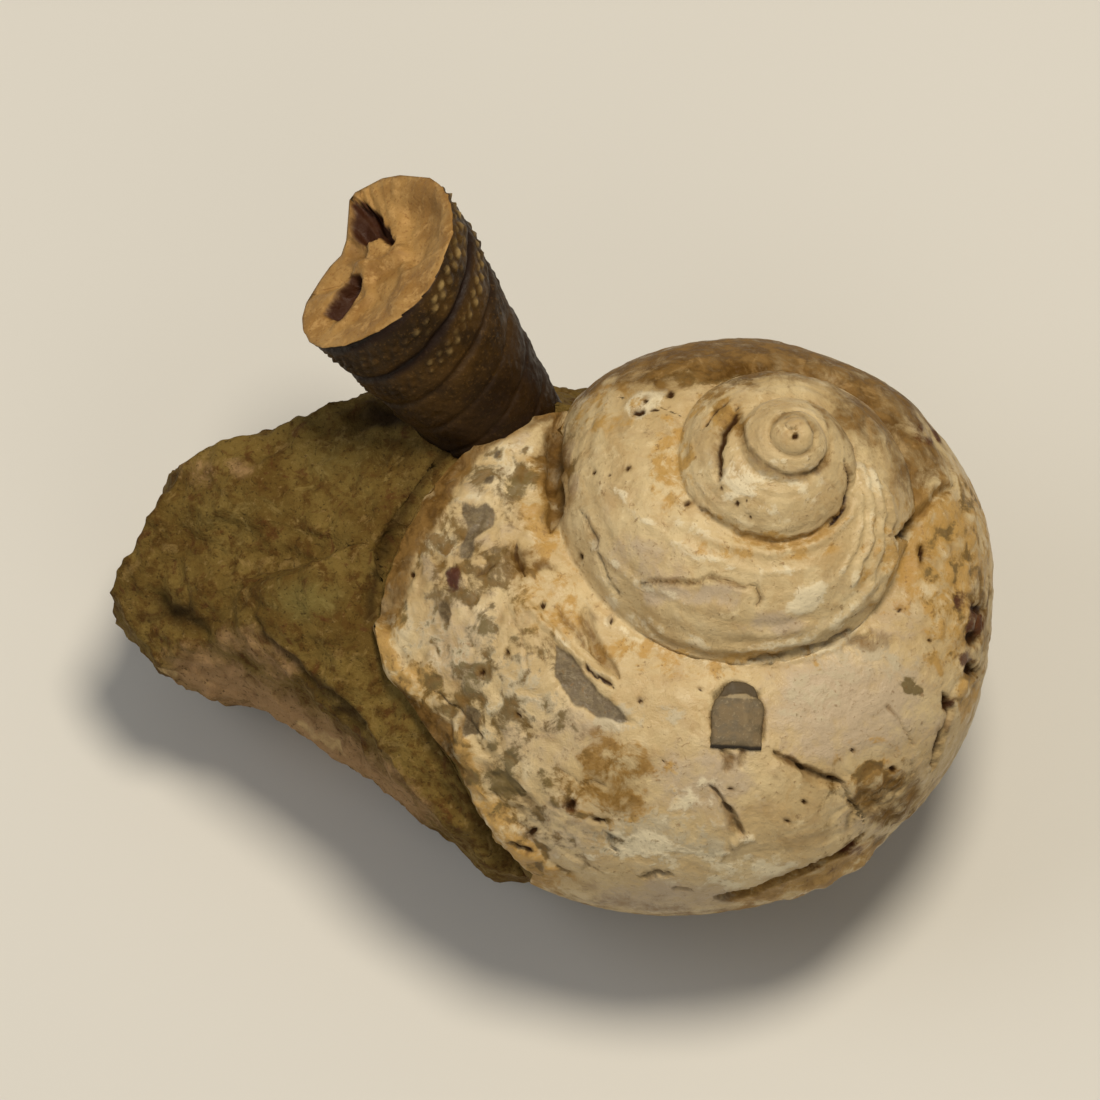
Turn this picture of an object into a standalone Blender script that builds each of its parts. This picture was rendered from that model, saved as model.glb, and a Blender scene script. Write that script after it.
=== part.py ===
import math

import bmesh
import bpy
from mathutils import Matrix, Vector, noise

MM = 0.001

# The snail shell: an equiangular coil about an axis that leans a little to +X
SHELL_APEX = Vector((20.5, 2.0, 52.0)) * MM
SHELL_LEAN = math.radians(10.4)
COIL_START_ANGLE = math.radians(67.5)
SUTURE_RADIUS = 10.475 * MM
WHORL_GROWTH = 2.037
SPIRE_STEEPNESS = 1.15
SHELL_HEIGHT = 50.0 * MM
TIP_TURN = -2.226
TIP_BLUNTNESS = 0.75
BODY_TURN = -0.226
APERTURE_TURN = 0.774
COLUMNS_PER_TURN = 52
SHOULDER_ROWS = 9
BASE_ROWS = 8
LIP_SLANT = 0.19
LIP_BREAK = 0.06
WORN_LAYER = 0.125
WORN_FLAT = 0.085
SHELL_LUMPS = [(9.0 * MM, 0.35 * MM)]

# Cracks and broken steps in the shell: width and depth in millimetres, then the way along as
# turns and bends, where bend 0 is a whorl's upper suture and bend 1 its widest line
SHELL_BREAKS = [
    (1.1, 0.9, [(0.468, 0.31), (0.454, 0.417), (0.436, 0.57)]),
    (1.2, 0.9, [(0.514, 0.41), (0.511, 0.533), (0.51, 0.63)]),
    (2.4, 1.7, [(0.66, 0.94), (0.594, 0.90), (0.551, 0.867), (0.495, 0.79)]),
    (1.8, 1.4, [(0.335, 0.49), (0.352, 0.60), (0.368, 0.667), (0.40, 0.75)]),
    (1.1, 0.8, [(0.655, 0.12), (0.60, 0.15), (0.564, 0.2)]),
    (0.8, 0.8, [(-1.17, 0.13), (-1.275, 0.2), (-1.351, 0.283), (-1.43, 0.50)]),
    (1.8, 0.9, [(-0.41, 0.69), (-0.465, 0.417), (-0.499, 0.317), (-0.56, 0.30)]),
]

# The turret shell: a straight-sided cone broken across at a slant, its beads on a coil
TURRET_MOUTH = Vector((-14.85, 19.7, 46.1)) * MM
TURRET_DIRECTION = Vector((-0.514, 0.364, 0.774)).normalized()
TURRET_BREAK_FACING = Vector((-0.647, 0.215, 0.732)).normalized()
TURRET_RADIUS = 8.45 * MM
TURRET_CONE_LENGTH = 55.0 * MM
TURRET_LENGTH = 23.0 * MM
TURRET_WHORL_RATIO = 0.916
TURRET_COLUMNS = 37
TURRET_WHORL_PROFILE = (-0.06, 0.012, -0.004, 0.014, -0.004, 0.01)
BEAD_HEIGHT = 0.032
# Rings that fill the broken end: size against the ring before, and how far it sinks
MOUTH_RINGS = [(0.91, 0.1 * MM), (0.84, 0.7 * MM), (0.72, 0.3 * MM), (0.5, 0.0)]
BITE_ANGLE = math.radians(274)
BITE_REACH = (2.5 * MM, 7.0 * MM)
BITE_DEPTH = 2.4 * MM
BITE_DROP = 0.8 * MM

# The stone chip: a bullet outline set flush in the body whorl
CHIP_CENTRE = Vector((15.4, -16.7, 35.2)) * MM
CHIP_FACING = Vector((0.11, -0.25, 0.96)).normalized()
CHIP_WIDTH = 4.4 * MM
CHIP_LENGTH = 5.6 * MM
CHIP_DEPTH = 3.6 * MM
CHIP_PROUD = 0.3 * MM

# The rock: outlines in plan, from the cut base up to the top
ROCK_TOP = Vector((-15.0, 1.0, 30.3)) * MM
ROCK_LUMPS = [(7.0 * MM, 0.9 * MM), (3.0 * MM, 0.45 * MM)]
GAP = 0.3 * MM
WELD = 0.01 * MM


def clear_scene():
    for item in list(bpy.data.objects):
        bpy.data.objects.remove(item, do_unlink=True)


def make_material(name, colour, roughness):
    material = bpy.data.materials.new(name)
    material.use_nodes = True
    shader = material.node_tree.nodes["Principled BSDF"]
    shader.inputs["Base Color"].default_value = (*colour, 1.0)
    shader.inputs["Roughness"].default_value = roughness
    shader.inputs["Metallic"].default_value = 0.0
    return material


def make_object(name, bm, material, sharp_angle=40):
    bmesh.ops.remove_doubles(bm, verts=bm.verts, dist=WELD)
    bmesh.ops.dissolve_degenerate(bm, edges=bm.edges, dist=WELD)
    bmesh.ops.recalc_face_normals(bm, faces=bm.faces)
    mesh = bpy.data.meshes.new(name)
    bm.to_mesh(mesh)
    bm.free()
    mesh.shade_smooth()
    mesh.set_sharp_from_angle(angle=math.radians(sharp_angle))
    item = bpy.data.objects.new(name, mesh)
    bpy.context.scene.collection.objects.link(item)
    mesh.materials.append(material)
    return item


def smooth_ramp(low, high, value):
    share = min(max((value - low) / (high - low), 0.0), 1.0)
    return share * share * (3.0 - 2.0 * share)


def extrude_chain(bm, chain, closed=False):
    """Extrude a chain of vertices and give the new chain in the same order."""
    ends = chain[1:] + chain[:1] if closed else chain[1:]
    edges = [bm.edges.get(pair) for pair in zip(chain, ends)]
    made = bmesh.ops.extrude_edge_only(bm, edges=edges)["geom"]
    fresh = [part for part in made if isinstance(part, bmesh.types.BMVert)]
    by_place = {tuple(vert.co): vert for vert in fresh}
    return [by_place[tuple(vert.co)] for vert in chain]


def start_chain(bm, points, closed=False):
    chain = [bm.verts.new(point) for point in points]
    ends = chain[1:] + chain[:1] if closed else chain[1:]
    for pair in zip(chain, ends):
        bm.edges.new(pair)
    return chain


def roughen(bm, lumps):
    """Low lumps of each size and height from a fixed noise field, everywhere but on a flat base."""
    bm.normal_update()
    moves = {}
    for vert in bm.verts:
        if vert.co.z < WELD:
            continue
        rise = sum(height * noise.noise(vert.co / size) for size, height in lumps)
        moves[vert] = vert.normal * rise
    for vert, move in moves.items():
        vert.co += move
        vert.co.z = max(vert.co.z, 0.0)


# The snail shell

def coil_point(turn, radius, depth):
    """A point of the shell, from its turn, its distance from the axis and its depth below the apex."""
    angle = COIL_START_ANGLE - math.tau * turn
    local = Vector((radius * math.cos(angle), radius * math.sin(angle), -depth))
    return SHELL_APEX + Matrix.Rotation(SHELL_LEAN, 3, "Y") @ local


def suture(turn):
    return SUTURE_RADIUS * WHORL_GROWTH ** turn


def fullness(turn):
    """How far the body whorl reaches out, where parts of its outer layer are worn away."""
    begun = smooth_ramp(BODY_TURN, BODY_TURN + 0.126, turn)
    worn = WORN_LAYER * (1.0 - smooth_ramp(0.15, 0.50, turn))
    flat = WORN_FLAT * math.exp(-((turn / 0.1) ** 2))
    return 1.0 - begun * (worn + flat)


def shoulder_point(turn, bend):
    """A whorl from its upper suture at bend 0 to its widest line at bend 1."""
    upper = suture(turn)
    wide = upper * WHORL_GROWTH
    reach = fullness(turn) if turn > BODY_TURN else 1.0
    radius = upper + (wide * reach - upper) * math.sin(bend * math.pi / 2)
    depth = SPIRE_STEEPNESS * (upper + (wide - upper) * (1.0 - math.cos(bend * math.pi / 2)))
    return coil_point(turn, radius, depth)


def base_point(turn, bend):
    """The underside of the body whorl, from its widest line to the axis."""
    wide = suture(turn) * WHORL_GROWTH
    top = SPIRE_STEEPNESS * wide
    radius = wide * fullness(turn) * math.cos(bend * math.pi / 2)
    depth = top + (SHELL_HEIGHT - top) * math.sin(bend * math.pi / 2)
    return coil_point(turn, radius, depth)


def body_turn(turn, bend):
    """The broken lip cuts each row of the body whorl short by its own amount."""
    cut = LIP_SLANT * min(bend, 1.0) + LIP_BREAK * smooth_ramp(0.66, 0.76, bend)
    return turn - cut * min(max((turn - 0.1) / (APERTURE_TURN - 0.1), 0.0), 1.0)


def body_chain(turn):
    rows = []
    for row in range(SHOULDER_ROWS + 1):
        bend = row / SHOULDER_ROWS
        rows.append(shoulder_point(body_turn(turn, bend), bend))
    for row in range(1, BASE_ROWS + 1):
        rows.append(base_point(body_turn(turn, 1.0), row / BASE_ROWS))
    return rows


def build_shell_mesh():
    bm = bmesh.new()
    spire_columns = round((BODY_TURN - TIP_TURN) * COLUMNS_PER_TURN)
    first = [shoulder_point(TIP_TURN, row / SHOULDER_ROWS) for row in range(SHOULDER_ROWS + 1)]
    chain = start_chain(bm, first)
    for column in range(1, spire_columns + 1):
        turn = TIP_TURN + column / COLUMNS_PER_TURN
        chain = extrude_chain(bm, chain)
        for row, vert in enumerate(chain):
            vert.co = shoulder_point(turn, row / SHOULDER_ROWS)
    chain = start_chain(bm, body_chain(BODY_TURN))
    mouth_wall = chain
    for column in range(1, COLUMNS_PER_TURN + 1):
        chain = extrude_chain(bm, chain)
        for vert, place in zip(chain, body_chain(BODY_TURN + column / COLUMNS_PER_TURN)):
            vert.co = place
    close_mouth(bm, chain, mouth_wall)
    bmesh.ops.remove_doubles(bm, verts=bm.verts, dist=WELD)
    close_tip(bm)
    return bm


def close_mouth(bm, lip, wall):
    """The mouth closes as a fan from the corner where the suture ends, and in strips below it."""
    for row in range(1, SHOULDER_ROWS):
        bm.faces.new((lip[row], lip[row + 1], wall[SHOULDER_ROWS]))
    for row in range(SHOULDER_ROWS, SHOULDER_ROWS + BASE_ROWS):
        bm.faces.new((lip[row], lip[row + 1], wall[row + 1], wall[row]))


def surface_place(turn, bend):
    """A place on the outside of the shell, from its turn and its bend."""
    if turn > BODY_TURN:
        turn = body_turn(turn, bend)
    return shoulder_point(turn, bend)


def surface_normal(turn, bend):
    step = 0.002
    here = surface_place(turn, bend)
    along = surface_place(turn + step, bend) - here
    down = surface_place(turn, bend + step) - here
    return down.cross(along).normalized()


def break_ring(turn, bend, heading, width, depth):
    """Three corners across a V-shaped break: two above the surface and one below it."""
    here = surface_place(turn, bend)
    outwards = surface_normal(turn, bend)
    side = heading.cross(outwards).normalized() * width / 2
    lift = outwards * depth
    return [here - side * 2 + lift, here - lift, here + side * 2 + lift]


def add_break(bm, width, depth, way):
    places = [surface_place(turn, bend) for turn, bend in way]
    ring = None
    for step, (turn, bend) in enumerate(way):
        before = places[max(step - 1, 0)]
        after = places[min(step + 1, len(way) - 1)]
        taper = 0.45 if step in (0, len(way) - 1) else 1.0
        corners = break_ring(turn, bend, after - before, width * taper * MM, depth * taper * MM)
        if ring is None:
            ring = start_chain(bm, corners, closed=True)
            bm.faces.new(ring)
            continue
        ring = extrude_chain(bm, ring, closed=True)
        for vert, corner in zip(ring, corners):
            vert.co = corner
    bm.faces.new(ring)


def make_break_cutter():
    bm = bmesh.new()
    for width, depth, way in SHELL_BREAKS:
        add_break(bm, width, depth, way)
    bmesh.ops.recalc_face_normals(bm, faces=bm.faces)
    mesh = bpy.data.meshes.new("shell breaks")
    bm.to_mesh(mesh)
    bm.free()
    return make_cutter("shell breaks", mesh)


def close_tip(bm):
    open_edges = [edge for edge in bm.edges if edge.is_boundary]
    made = bmesh.ops.extrude_edge_only(bm, edges=open_edges)["geom"]
    fresh = [part for part in made if isinstance(part, bmesh.types.BMVert)]
    tip = coil_point(TIP_TURN, 0.0, TIP_BLUNTNESS * suture(TIP_TURN))
    bmesh.ops.pointmerge(bm, verts=fresh, merge_co=tip)


def make_shell(material):
    bm = build_shell_mesh()
    bmesh.ops.recalc_face_normals(bm, faces=bm.faces)
    roughen(bm, SHELL_LUMPS)
    return make_object("snail_shell", bm, material)


# The turret shell

def turret_frame():
    """The turret's own axes: its third one points out of the broken end."""
    side = TURRET_DIRECTION.cross(Vector((0.0, 0.0, 1.0))).normalized()
    up = side.cross(TURRET_DIRECTION).normalized()
    turned = Matrix((side, up, TURRET_DIRECTION)).transposed().to_4x4()
    return Matrix.Translation(TURRET_MOUTH) @ turned


def turret_point(column, row):
    """A point of the beaded side, with the rows climbing one whorl for each turn."""
    rows_per_whorl = len(TURRET_WHORL_PROFILE)
    whorls = row / rows_per_whorl + column / TURRET_COLUMNS
    along = TURRET_CONE_LENGTH * TURRET_WHORL_RATIO ** whorls
    kind = TURRET_WHORL_PROFILE[row % rows_per_whorl]
    bead = BEAD_HEIGHT if kind > 0 and (column + row // 2) % 2 else 0.0
    radius = along * TURRET_RADIUS / TURRET_CONE_LENGTH * (1.0 + kind + bead)
    angle = math.tau * column / TURRET_COLUMNS
    return Vector((radius * math.cos(angle), radius * math.sin(angle), along - TURRET_CONE_LENGTH))


def build_turret_mesh():
    rows_per_whorl = len(TURRET_WHORL_PROFILE)
    far_end = (TURRET_CONE_LENGTH - TURRET_LENGTH) / TURRET_CONE_LENGTH
    whorls = math.log(far_end) / math.log(TURRET_WHORL_RATIO)
    last_row = math.ceil(whorls * rows_per_whorl)
    bm = bmesh.new()
    rows = range(-2 * rows_per_whorl, last_row + 1)
    chain = start_chain(bm, [turret_point(0, row) for row in rows])
    for column in range(1, TURRET_COLUMNS + 1):
        chain = extrude_chain(bm, chain)
        for row, vert in zip(rows, chain):
            vert.co = turret_point(column, row)
    bmesh.ops.remove_doubles(bm, verts=bm.verts, dist=WELD)
    fill_mouth(bm, flat_cut(bm, Vector((0.0, 0.0, 0.0)), break_facing()))
    hidden_end = flat_cut(bm, Vector((0.0, 0.0, -TURRET_LENGTH)), Vector((0.0, 0.0, -1.0)))
    bmesh.ops.edgeloop_fill(bm, edges=hidden_end)
    return bm


def break_facing():
    """The way that the broken end faces, in the turret's own axes."""
    return turret_frame().to_3x3().transposed() @ TURRET_BREAK_FACING


def open_rim(bm, place, facing):
    return [
        edge for edge in bm.edges
        if edge.is_boundary and abs((edge.verts[0].co - place).dot(facing)) < WELD
    ]


def flat_cut(bm, place, facing):
    """Cut the cone across, take away what lies beyond and give the open rim."""
    bmesh.ops.bisect_plane(
        bm,
        geom=bm.verts[:] + bm.edges[:] + bm.faces[:],
        dist=WELD,
        plane_co=place,
        plane_no=facing,
        clear_outer=True,
    )
    rim = open_rim(bm, place, facing)
    bmesh.ops.remove_doubles(bm, verts=list({v for e in rim for v in e.verts}), dist=WELD)
    return open_rim(bm, place, facing)


def fill_mouth(bm, rim):
    """The broken end, filled in rings: a raised rim round a shallow dish."""
    facing = break_facing()
    for size, sink in MOUTH_RINGS:
        made = bmesh.ops.extrude_edge_only(bm, edges=rim)["geom"]
        fresh = [part for part in made if isinstance(part, bmesh.types.BMVert)]
        rim = [part for part in made if isinstance(part, bmesh.types.BMEdge) and part.is_boundary]
        bmesh.ops.scale(bm, verts=fresh, vec=(size, size, size))
        bmesh.ops.translate(bm, verts=fresh, vec=-facing * sink)
    bmesh.ops.pointmerge(bm, verts=fresh, merge_co=sum((vert.co for vert in fresh), Vector()) / len(fresh))


def bite_mouth(bm):
    """A piece of the rim is missing from the broken end."""
    away = Vector((math.cos(BITE_ANGLE), math.sin(BITE_ANGLE), 0.0))
    for vert in bm.verts:
        reach = (vert.co - away * TURRET_RADIUS).length
        share = 1.0 - smooth_ramp(*BITE_REACH, reach)
        vert.co -= away * share * BITE_DEPTH
        vert.co.z -= share * BITE_DROP


def make_turret(material):
    bm = build_turret_mesh()
    bite_mouth(bm)
    bm.transform(turret_frame())
    return make_object("turret_shell", bm, material)


# The stone chip

def chip_frame():
    """The chip's own axes: its second one points along the chip, its third one out of the whorl."""
    across = Vector((0.0, 1.0, 0.0)).cross(CHIP_FACING).normalized()
    along = CHIP_FACING.cross(across).normalized()
    turned = Matrix((across, along, CHIP_FACING)).transposed().to_4x4()
    return Matrix.Translation(CHIP_CENTRE) @ turned


def chip_outline(grow):
    """A bullet outline: a flat end, straight sides and a round nose."""
    half = CHIP_WIDTH / 2
    nose = CHIP_LENGTH / 2 - half
    corners = [(-half - grow, -CHIP_LENGTH / 2 - grow), (half + grow, -CHIP_LENGTH / 2 - grow)]
    nose_steps = 10
    for step in range(nose_steps + 1):
        angle = math.pi * step / nose_steps
        corners.append(((half + grow) * math.cos(angle), nose + (half + grow) * math.sin(angle)))
    return corners


def chip_mesh(grow, height):
    """The chip's block, or with some growth the pocket that it sits in."""
    bm = bmesh.new()
    face = bm.faces.new([bm.verts.new((x, y, -CHIP_DEPTH - grow)) for x, y in chip_outline(grow)])
    made = bmesh.ops.extrude_face_region(bm, geom=[face])["geom"]
    top = [part for part in made if isinstance(part, bmesh.types.BMVert)]
    bmesh.ops.translate(bm, verts=top, vec=(0.0, 0.0, CHIP_DEPTH + grow + height))
    bmesh.ops.recalc_face_normals(bm, faces=bm.faces)
    return bm


def crown_chip(bm):
    """The top of the chip is a low worn crown."""
    lid = max(bm.faces, key=lambda side: side.calc_center_median().z)
    bmesh.ops.inset_region(bm, faces=[lid], thickness=0.7 * MM, use_even_offset=True)
    bmesh.ops.translate(bm, verts=lid.verts, vec=(0.0, 0.0, CHIP_PROUD))


def make_chip(material):
    bm = chip_mesh(0.0, 0.0)
    crown_chip(bm)
    bm.transform(chip_frame())
    return make_object("stone_chip", bm, material, 30)


def make_chip_pocket():
    bm = chip_mesh(GAP, CHIP_DEPTH)
    bm.transform(chip_frame())
    mesh = bpy.data.meshes.new("chip pocket")
    bm.to_mesh(mesh)
    bm.free()
    return make_cutter("chip pocket", mesh)


# The rock

def rock_levels():
    """Outlines of the rock from the base up, each a closed row of places in millimetres."""
    base = [
        (-31.5, 9, 0), (-29, 14, 0), (-24.5, 17.5, 0), (-18.5, 20.5, 0), (-12, 22, 0), (-3, 24, 0), (7, 25, 0),
        (18, 22, 0), (27, 15, 0), (30, 4, 0), (25, -7, 0), (12, -16.5, 0), (-2, -15.5, 0), (-9.5, -11.5, 0),
        (-14.5, -6.4, 0), (-19, -3.6, 0), (-24.5, 0.2, 0), (-27.5, 1.6, 0), (-30, 3, 0), (-32, 5.5, 0),
    ]
    waist = [
        (-33.5, 8.5, 8), (-31.5, 13.5, 8), (-27.5, 17, 9), (-21, 20, 9), (-14, 22, 9), (-4, 24, 9), (6, 25, 8),
        (18, 23, 6), (28.5, 16, 5), (32, 4, 5), (27, -8, 5), (12, -18.5, 5), (-3.5, -19, 7), (-10.5, -14.6, 8),
        (-15.2, -9.8, 8), (-19.5, -6.8, 8), (-25.2, -3.6, 8), (-29, -2.2, 8), (-32.5, -0.8, 8), (-35.5, 3.5, 8),
    ]
    shelf = [
        (-34, 8.5, 16), (-32, 12.5, 17), (-28.5, 14.5, 18), (-21.5, 16.5, 18.5), (-15.5, 18.8, 19), (-5, 20, 19),
        (5, 22, 14), (17, 21, 10), (27, 14, 8), (30, 4, 8), (25, -7, 8), (1, -21.5, 12), (-5.5, -22, 14),
        (-12.5, -15.2, 15), (-15.8, -13, 16), (-20.5, -9.8, 16), (-25.4, -6.8, 15), (-29.5, -5, 13.5),
        (-33, -2.8, 12.5), (-36.8, 1.8, 12),
    ]
    brow = [
        (-33.1, 7.4, 24), (-31, 10.8, 25), (-28.1, 11.8, 26), (-21, 13.7, 27.5), (-15.2, 15.6, 28), (-6, 17, 30),
        (3, 15, 26), (10, 6, 22), (12, 2, 22), (10, -3, 22), (6, -8, 22), (-0.4, -24.6, 17), (-5.5, -23.6, 19.2),
        (-13.3, -16.6, 24), (-16.2, -13.1, 25.5), (-20.6, -8.8, 26), (-25.4, -4, 26), (-29.4, -3.2, 20),
        (-33, -3.7, 17), (-36.8, 2.4, 18),
    ]
    crown = [
        (-28, 6, 26.5), (-27, 8, 27), (-24, 9.5, 27.5), (-19, 10.5, 28.5), (-13.5, 12, 29.8), (-6.5, 12.2, 33.5),
        (1.5, 12.5, 33), (5, 4, 26), (6, 2, 26), (5, -2, 26), (2, -5, 26), (-2.5, -20, 21), (-7.5, -18.5, 24.5),
        (-12, -11.5, 27), (-14.5, -8, 27.5), (-18.5, -5, 28), (-23, -1.5, 28), (-27, -1, 25), (-29.5, 0, 23.5),
        (-31, 3, 23),
    ]
    return [base, waist, shelf, brow, crown]


def make_rock_mesh():
    levels = [[Vector(place) * MM for place in level] for level in rock_levels()]
    bm = bmesh.new()
    foot = start_chain(bm, levels[0], closed=True)
    ring = foot
    for level in levels[1:]:
        ring = extrude_chain(bm, ring, closed=True)
        for vert, place in zip(ring, level):
            vert.co = place
    bm.faces.new(foot)
    lid = bm.faces.new(ring)
    hub = bmesh.ops.poke(bm, faces=[lid])["verts"][0]
    hub.co = ROCK_TOP
    bmesh.ops.recalc_face_normals(bm, faces=bm.faces)
    return bm


def grown_copy(item, name, grow):
    """A copy of a piece with its surface moved outwards, to cut the rock with."""
    bm = bmesh.new()
    bm.from_mesh(item.data)
    bm.normal_update()
    moves = {vert: vert.normal * grow for vert in bm.verts}
    for vert, move in moves.items():
        vert.co += move
    mesh = bpy.data.meshes.new(name)
    bm.to_mesh(mesh)
    bm.free()
    return make_cutter(name, mesh)


def make_cutter(name, mesh):
    cutter = bpy.data.objects.new(name, mesh)
    bpy.context.scene.collection.objects.link(cutter)
    cutter.hide_render = True
    cutter.display_type = "WIRE"
    return cutter


def cut_away(item, cutter):
    cut = item.modifiers.new("cut " + cutter.name, "BOOLEAN")
    cut.operation = "DIFFERENCE"
    cut.solver = "EXACT"
    cut.object = cutter


def make_rock(material, rooms):
    bm = make_rock_mesh()
    bmesh.ops.subdivide_edges(bm, edges=bm.edges, cuts=1, use_grid_fill=True, smooth=0.0)
    bmesh.ops.triangulate(bm, faces=bm.faces)
    roughen(bm, ROCK_LUMPS)
    rock = make_object("rock_matrix", bm, material, 30)
    for room in rooms:
        cut_away(rock, room)


def main():
    clear_scene()
    shell_finish = make_material("weathered shell", (0.55, 0.44, 0.28), 0.55)
    rock_finish = make_material("olive siltstone", (0.13, 0.09, 0.045), 0.9)
    turret_finish = make_material("dark turret shell", (0.07, 0.04, 0.02), 0.5)
    chip_finish = make_material("grey chip", (0.14, 0.115, 0.075), 0.7)
    shell = make_shell(shell_finish)
    turret = make_turret(turret_finish)
    make_chip(chip_finish)
    shell_room = grown_copy(shell, "shell room", GAP)
    turret_room = grown_copy(turret, "turret room", GAP)
    make_rock(rock_finish, [shell_room, turret_room])
    cut_away(turret, shell_room)
    cut_away(shell, make_chip_pocket())
    cut_away(shell, make_break_cutter())


main()
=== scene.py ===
import math

import bmesh
import bpy
import numpy as np
from mathutils import Matrix, Vector, noise
from mathutils.bvhtree import BVHTree


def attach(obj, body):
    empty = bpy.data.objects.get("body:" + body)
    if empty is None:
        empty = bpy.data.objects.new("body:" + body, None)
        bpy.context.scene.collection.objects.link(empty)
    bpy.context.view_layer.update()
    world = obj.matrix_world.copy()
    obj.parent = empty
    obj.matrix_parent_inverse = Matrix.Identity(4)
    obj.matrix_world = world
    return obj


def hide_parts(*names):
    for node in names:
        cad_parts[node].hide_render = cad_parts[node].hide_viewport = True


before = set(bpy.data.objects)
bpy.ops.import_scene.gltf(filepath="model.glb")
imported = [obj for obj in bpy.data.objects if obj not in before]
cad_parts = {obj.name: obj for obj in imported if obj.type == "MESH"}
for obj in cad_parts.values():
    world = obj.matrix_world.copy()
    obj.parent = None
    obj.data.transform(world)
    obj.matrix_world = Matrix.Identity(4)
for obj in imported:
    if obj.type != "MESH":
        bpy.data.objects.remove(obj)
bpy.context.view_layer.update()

mm = 0.001

# Places on the specimen are given in pixels of the photograph: 12 to a millimetre, seen 66 degrees
# above the horizon
photo = {"pixelsPerMm": 12.0, "elevation": 66.0, "apexPixel": (798.3, 427.2),
         "apex": (20.5, 2.0, 52.0)}
lift = math.radians(photo["elevation"])
toCamera = np.array((0.0, -math.cos(lift), math.sin(lift)))
photoUp = np.array((0.0, math.sin(lift), math.cos(lift)))


def photoSpots(points):
    # where points in millimetres show in the photograph
    off = points - np.array(photo["apex"])
    across = photo["apexPixel"][0] + photo["pixelsPerMm"] * off[:, 0]
    down = photo["apexPixel"][1] - photo["pixelsPerMm"] * (off @ photoUp)
    return np.stack((across, down), 1)


def smooth(low, high, value):
    share = np.clip((value - low) / (high - low), 0.0, 1.0)
    return share * share * (3.0 - 2.0 * share)


def noiseAt(points, size, shift=0.0):
    # one noise value from -1 to 1 for each point in millimetres
    spots = (points / size + shift).tolist()
    return np.array([noise.noise(spot) for spot in spots])


def cellsAt(points, chosen, size):
    # how far each chosen point is from the cracks between uneven cells, and a number from 0 to 1
    # for its cell
    cracks, tint = np.ones(len(points)), np.full(len(points), 0.5)
    shifts = [noiseAt(points, size * 0.8, shift) for shift in (2.3, 6.1, 9.4)]
    bent = points / size + np.stack(shifts, 1) * 0.35
    for index in np.where(chosen)[0]:
        reach, middles = noise.voronoi(bent[index].tolist())
        cracks[index] = reach[1] - reach[0]
        x, y, z = middles[0]
        tint[index] = (math.sin(x * 12.9 + y * 78.2 + z * 37.7) * 43.7) % 1.0
    return cracks, tint


def readPoints(mesh):
    flat = np.empty(len(mesh.vertices) * 3)
    mesh.vertices.foreach_get("co", flat)
    return flat.reshape(-1, 3) / mm


def readNormals(mesh):
    flat = np.empty(len(mesh.vertices) * 3)
    mesh.vertices.foreach_get("normal", flat)
    return flat.reshape(-1, 3)


def writePoints(mesh, points):
    mesh.vertices.foreach_set("co", (points * mm).ravel())
    mesh.update()


def readLayer(mesh, name):
    values = np.empty(len(mesh.vertices))
    mesh.attributes[name].data.foreach_get("value", values)
    return values


def writeMasks(mesh, name, masks):
    # four masks from 0 to 1 in one colour attribute
    layer = mesh.color_attributes.new(name=name, type="FLOAT_COLOR", domain="POINT")
    stacked = np.stack([np.clip(mask, 0.0, 1.0) for mask in masks], 1)
    layer.data.foreach_set("color", stacked.astype(np.float32).ravel())


def soften(mesh, values):
    # each point's value drawn towards the mean of its neighbours
    ends = np.empty(len(mesh.edges) * 2, np.int32)
    mesh.edges.foreach_get("vertices", ends)
    first, second = ends.reshape(-1, 2).T
    count = len(values)
    total = np.bincount(first, values[second], count) + np.bincount(second, values[first], count)
    return 0.35 * values + 0.65 * total / np.maximum(np.bincount(ends, minlength=count), 1)


def makePiece(name, bm, materials):
    mesh = bpy.data.meshes.new(name)
    bm.to_mesh(mesh)
    bm.free()
    mesh.shade_smooth()
    piece = bpy.data.objects.new(name, mesh)
    bpy.context.scene.collection.objects.link(piece)
    for material in materials:
        mesh.materials.append(material)
    return piece


def startChain(bm, points, closed=False):
    chain = [bm.verts.new(point) for point in points]
    ends = chain[1:] + chain[:1] if closed else chain[1:]
    for pair in zip(chain, ends):
        bm.edges.new(pair)
    return chain


def extrudeChain(bm, chain, closed=False):
    # extrudes a chain of vertices and gives the new one in the same order
    ends = chain[1:] + chain[:1] if closed else chain[1:]
    edges = [bm.edges.get(pair) for pair in zip(chain, ends)]
    made = bmesh.ops.extrude_edge_only(bm, edges=edges)["geom"]
    byPlace = {tuple(vert.co): vert for vert in made if isinstance(vert, bmesh.types.BMVert)}
    return [byPlace[tuple(vert.co)] for vert in chain]


def wayReach(spots, way, margin=50.0):
    # distance in pixels from each spot to a way, the share along it, and which side of it
    way = np.array(way, float)
    distance, share, side = np.full(len(spots), 1e3), np.zeros(len(spots)), np.ones(len(spots))
    inBox = ((spots > way.min(0) - margin) & (spots < way.max(0) + margin)).all(1)
    near = np.where(inBox)[0]
    here = spots[near]
    runs = way[1:] - way[:-1]
    lengths = np.hypot(runs[:, 0], runs[:, 1])
    starts = np.concatenate(((0.0,), np.cumsum(lengths)))
    for start, run, length, before in zip(way, runs, lengths, starts):
        off = here - start
        along = np.clip(off @ run / (length * length), 0.0, 1.0)
        rest = off - along[:, None] * run
        gap = np.hypot(rest[:, 0], rest[:, 1])
        closer = gap < distance[near]
        chosen = near[closer]
        distance[chosen] = gap[closer]
        share[chosen] = (before + along[closer] * length) / starts[-1]
        side[chosen] = np.where(run[0] * off[closer, 1] - run[1] * off[closer, 0] > 0, 1.0, -1.0)
    return distance, share, side


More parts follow.
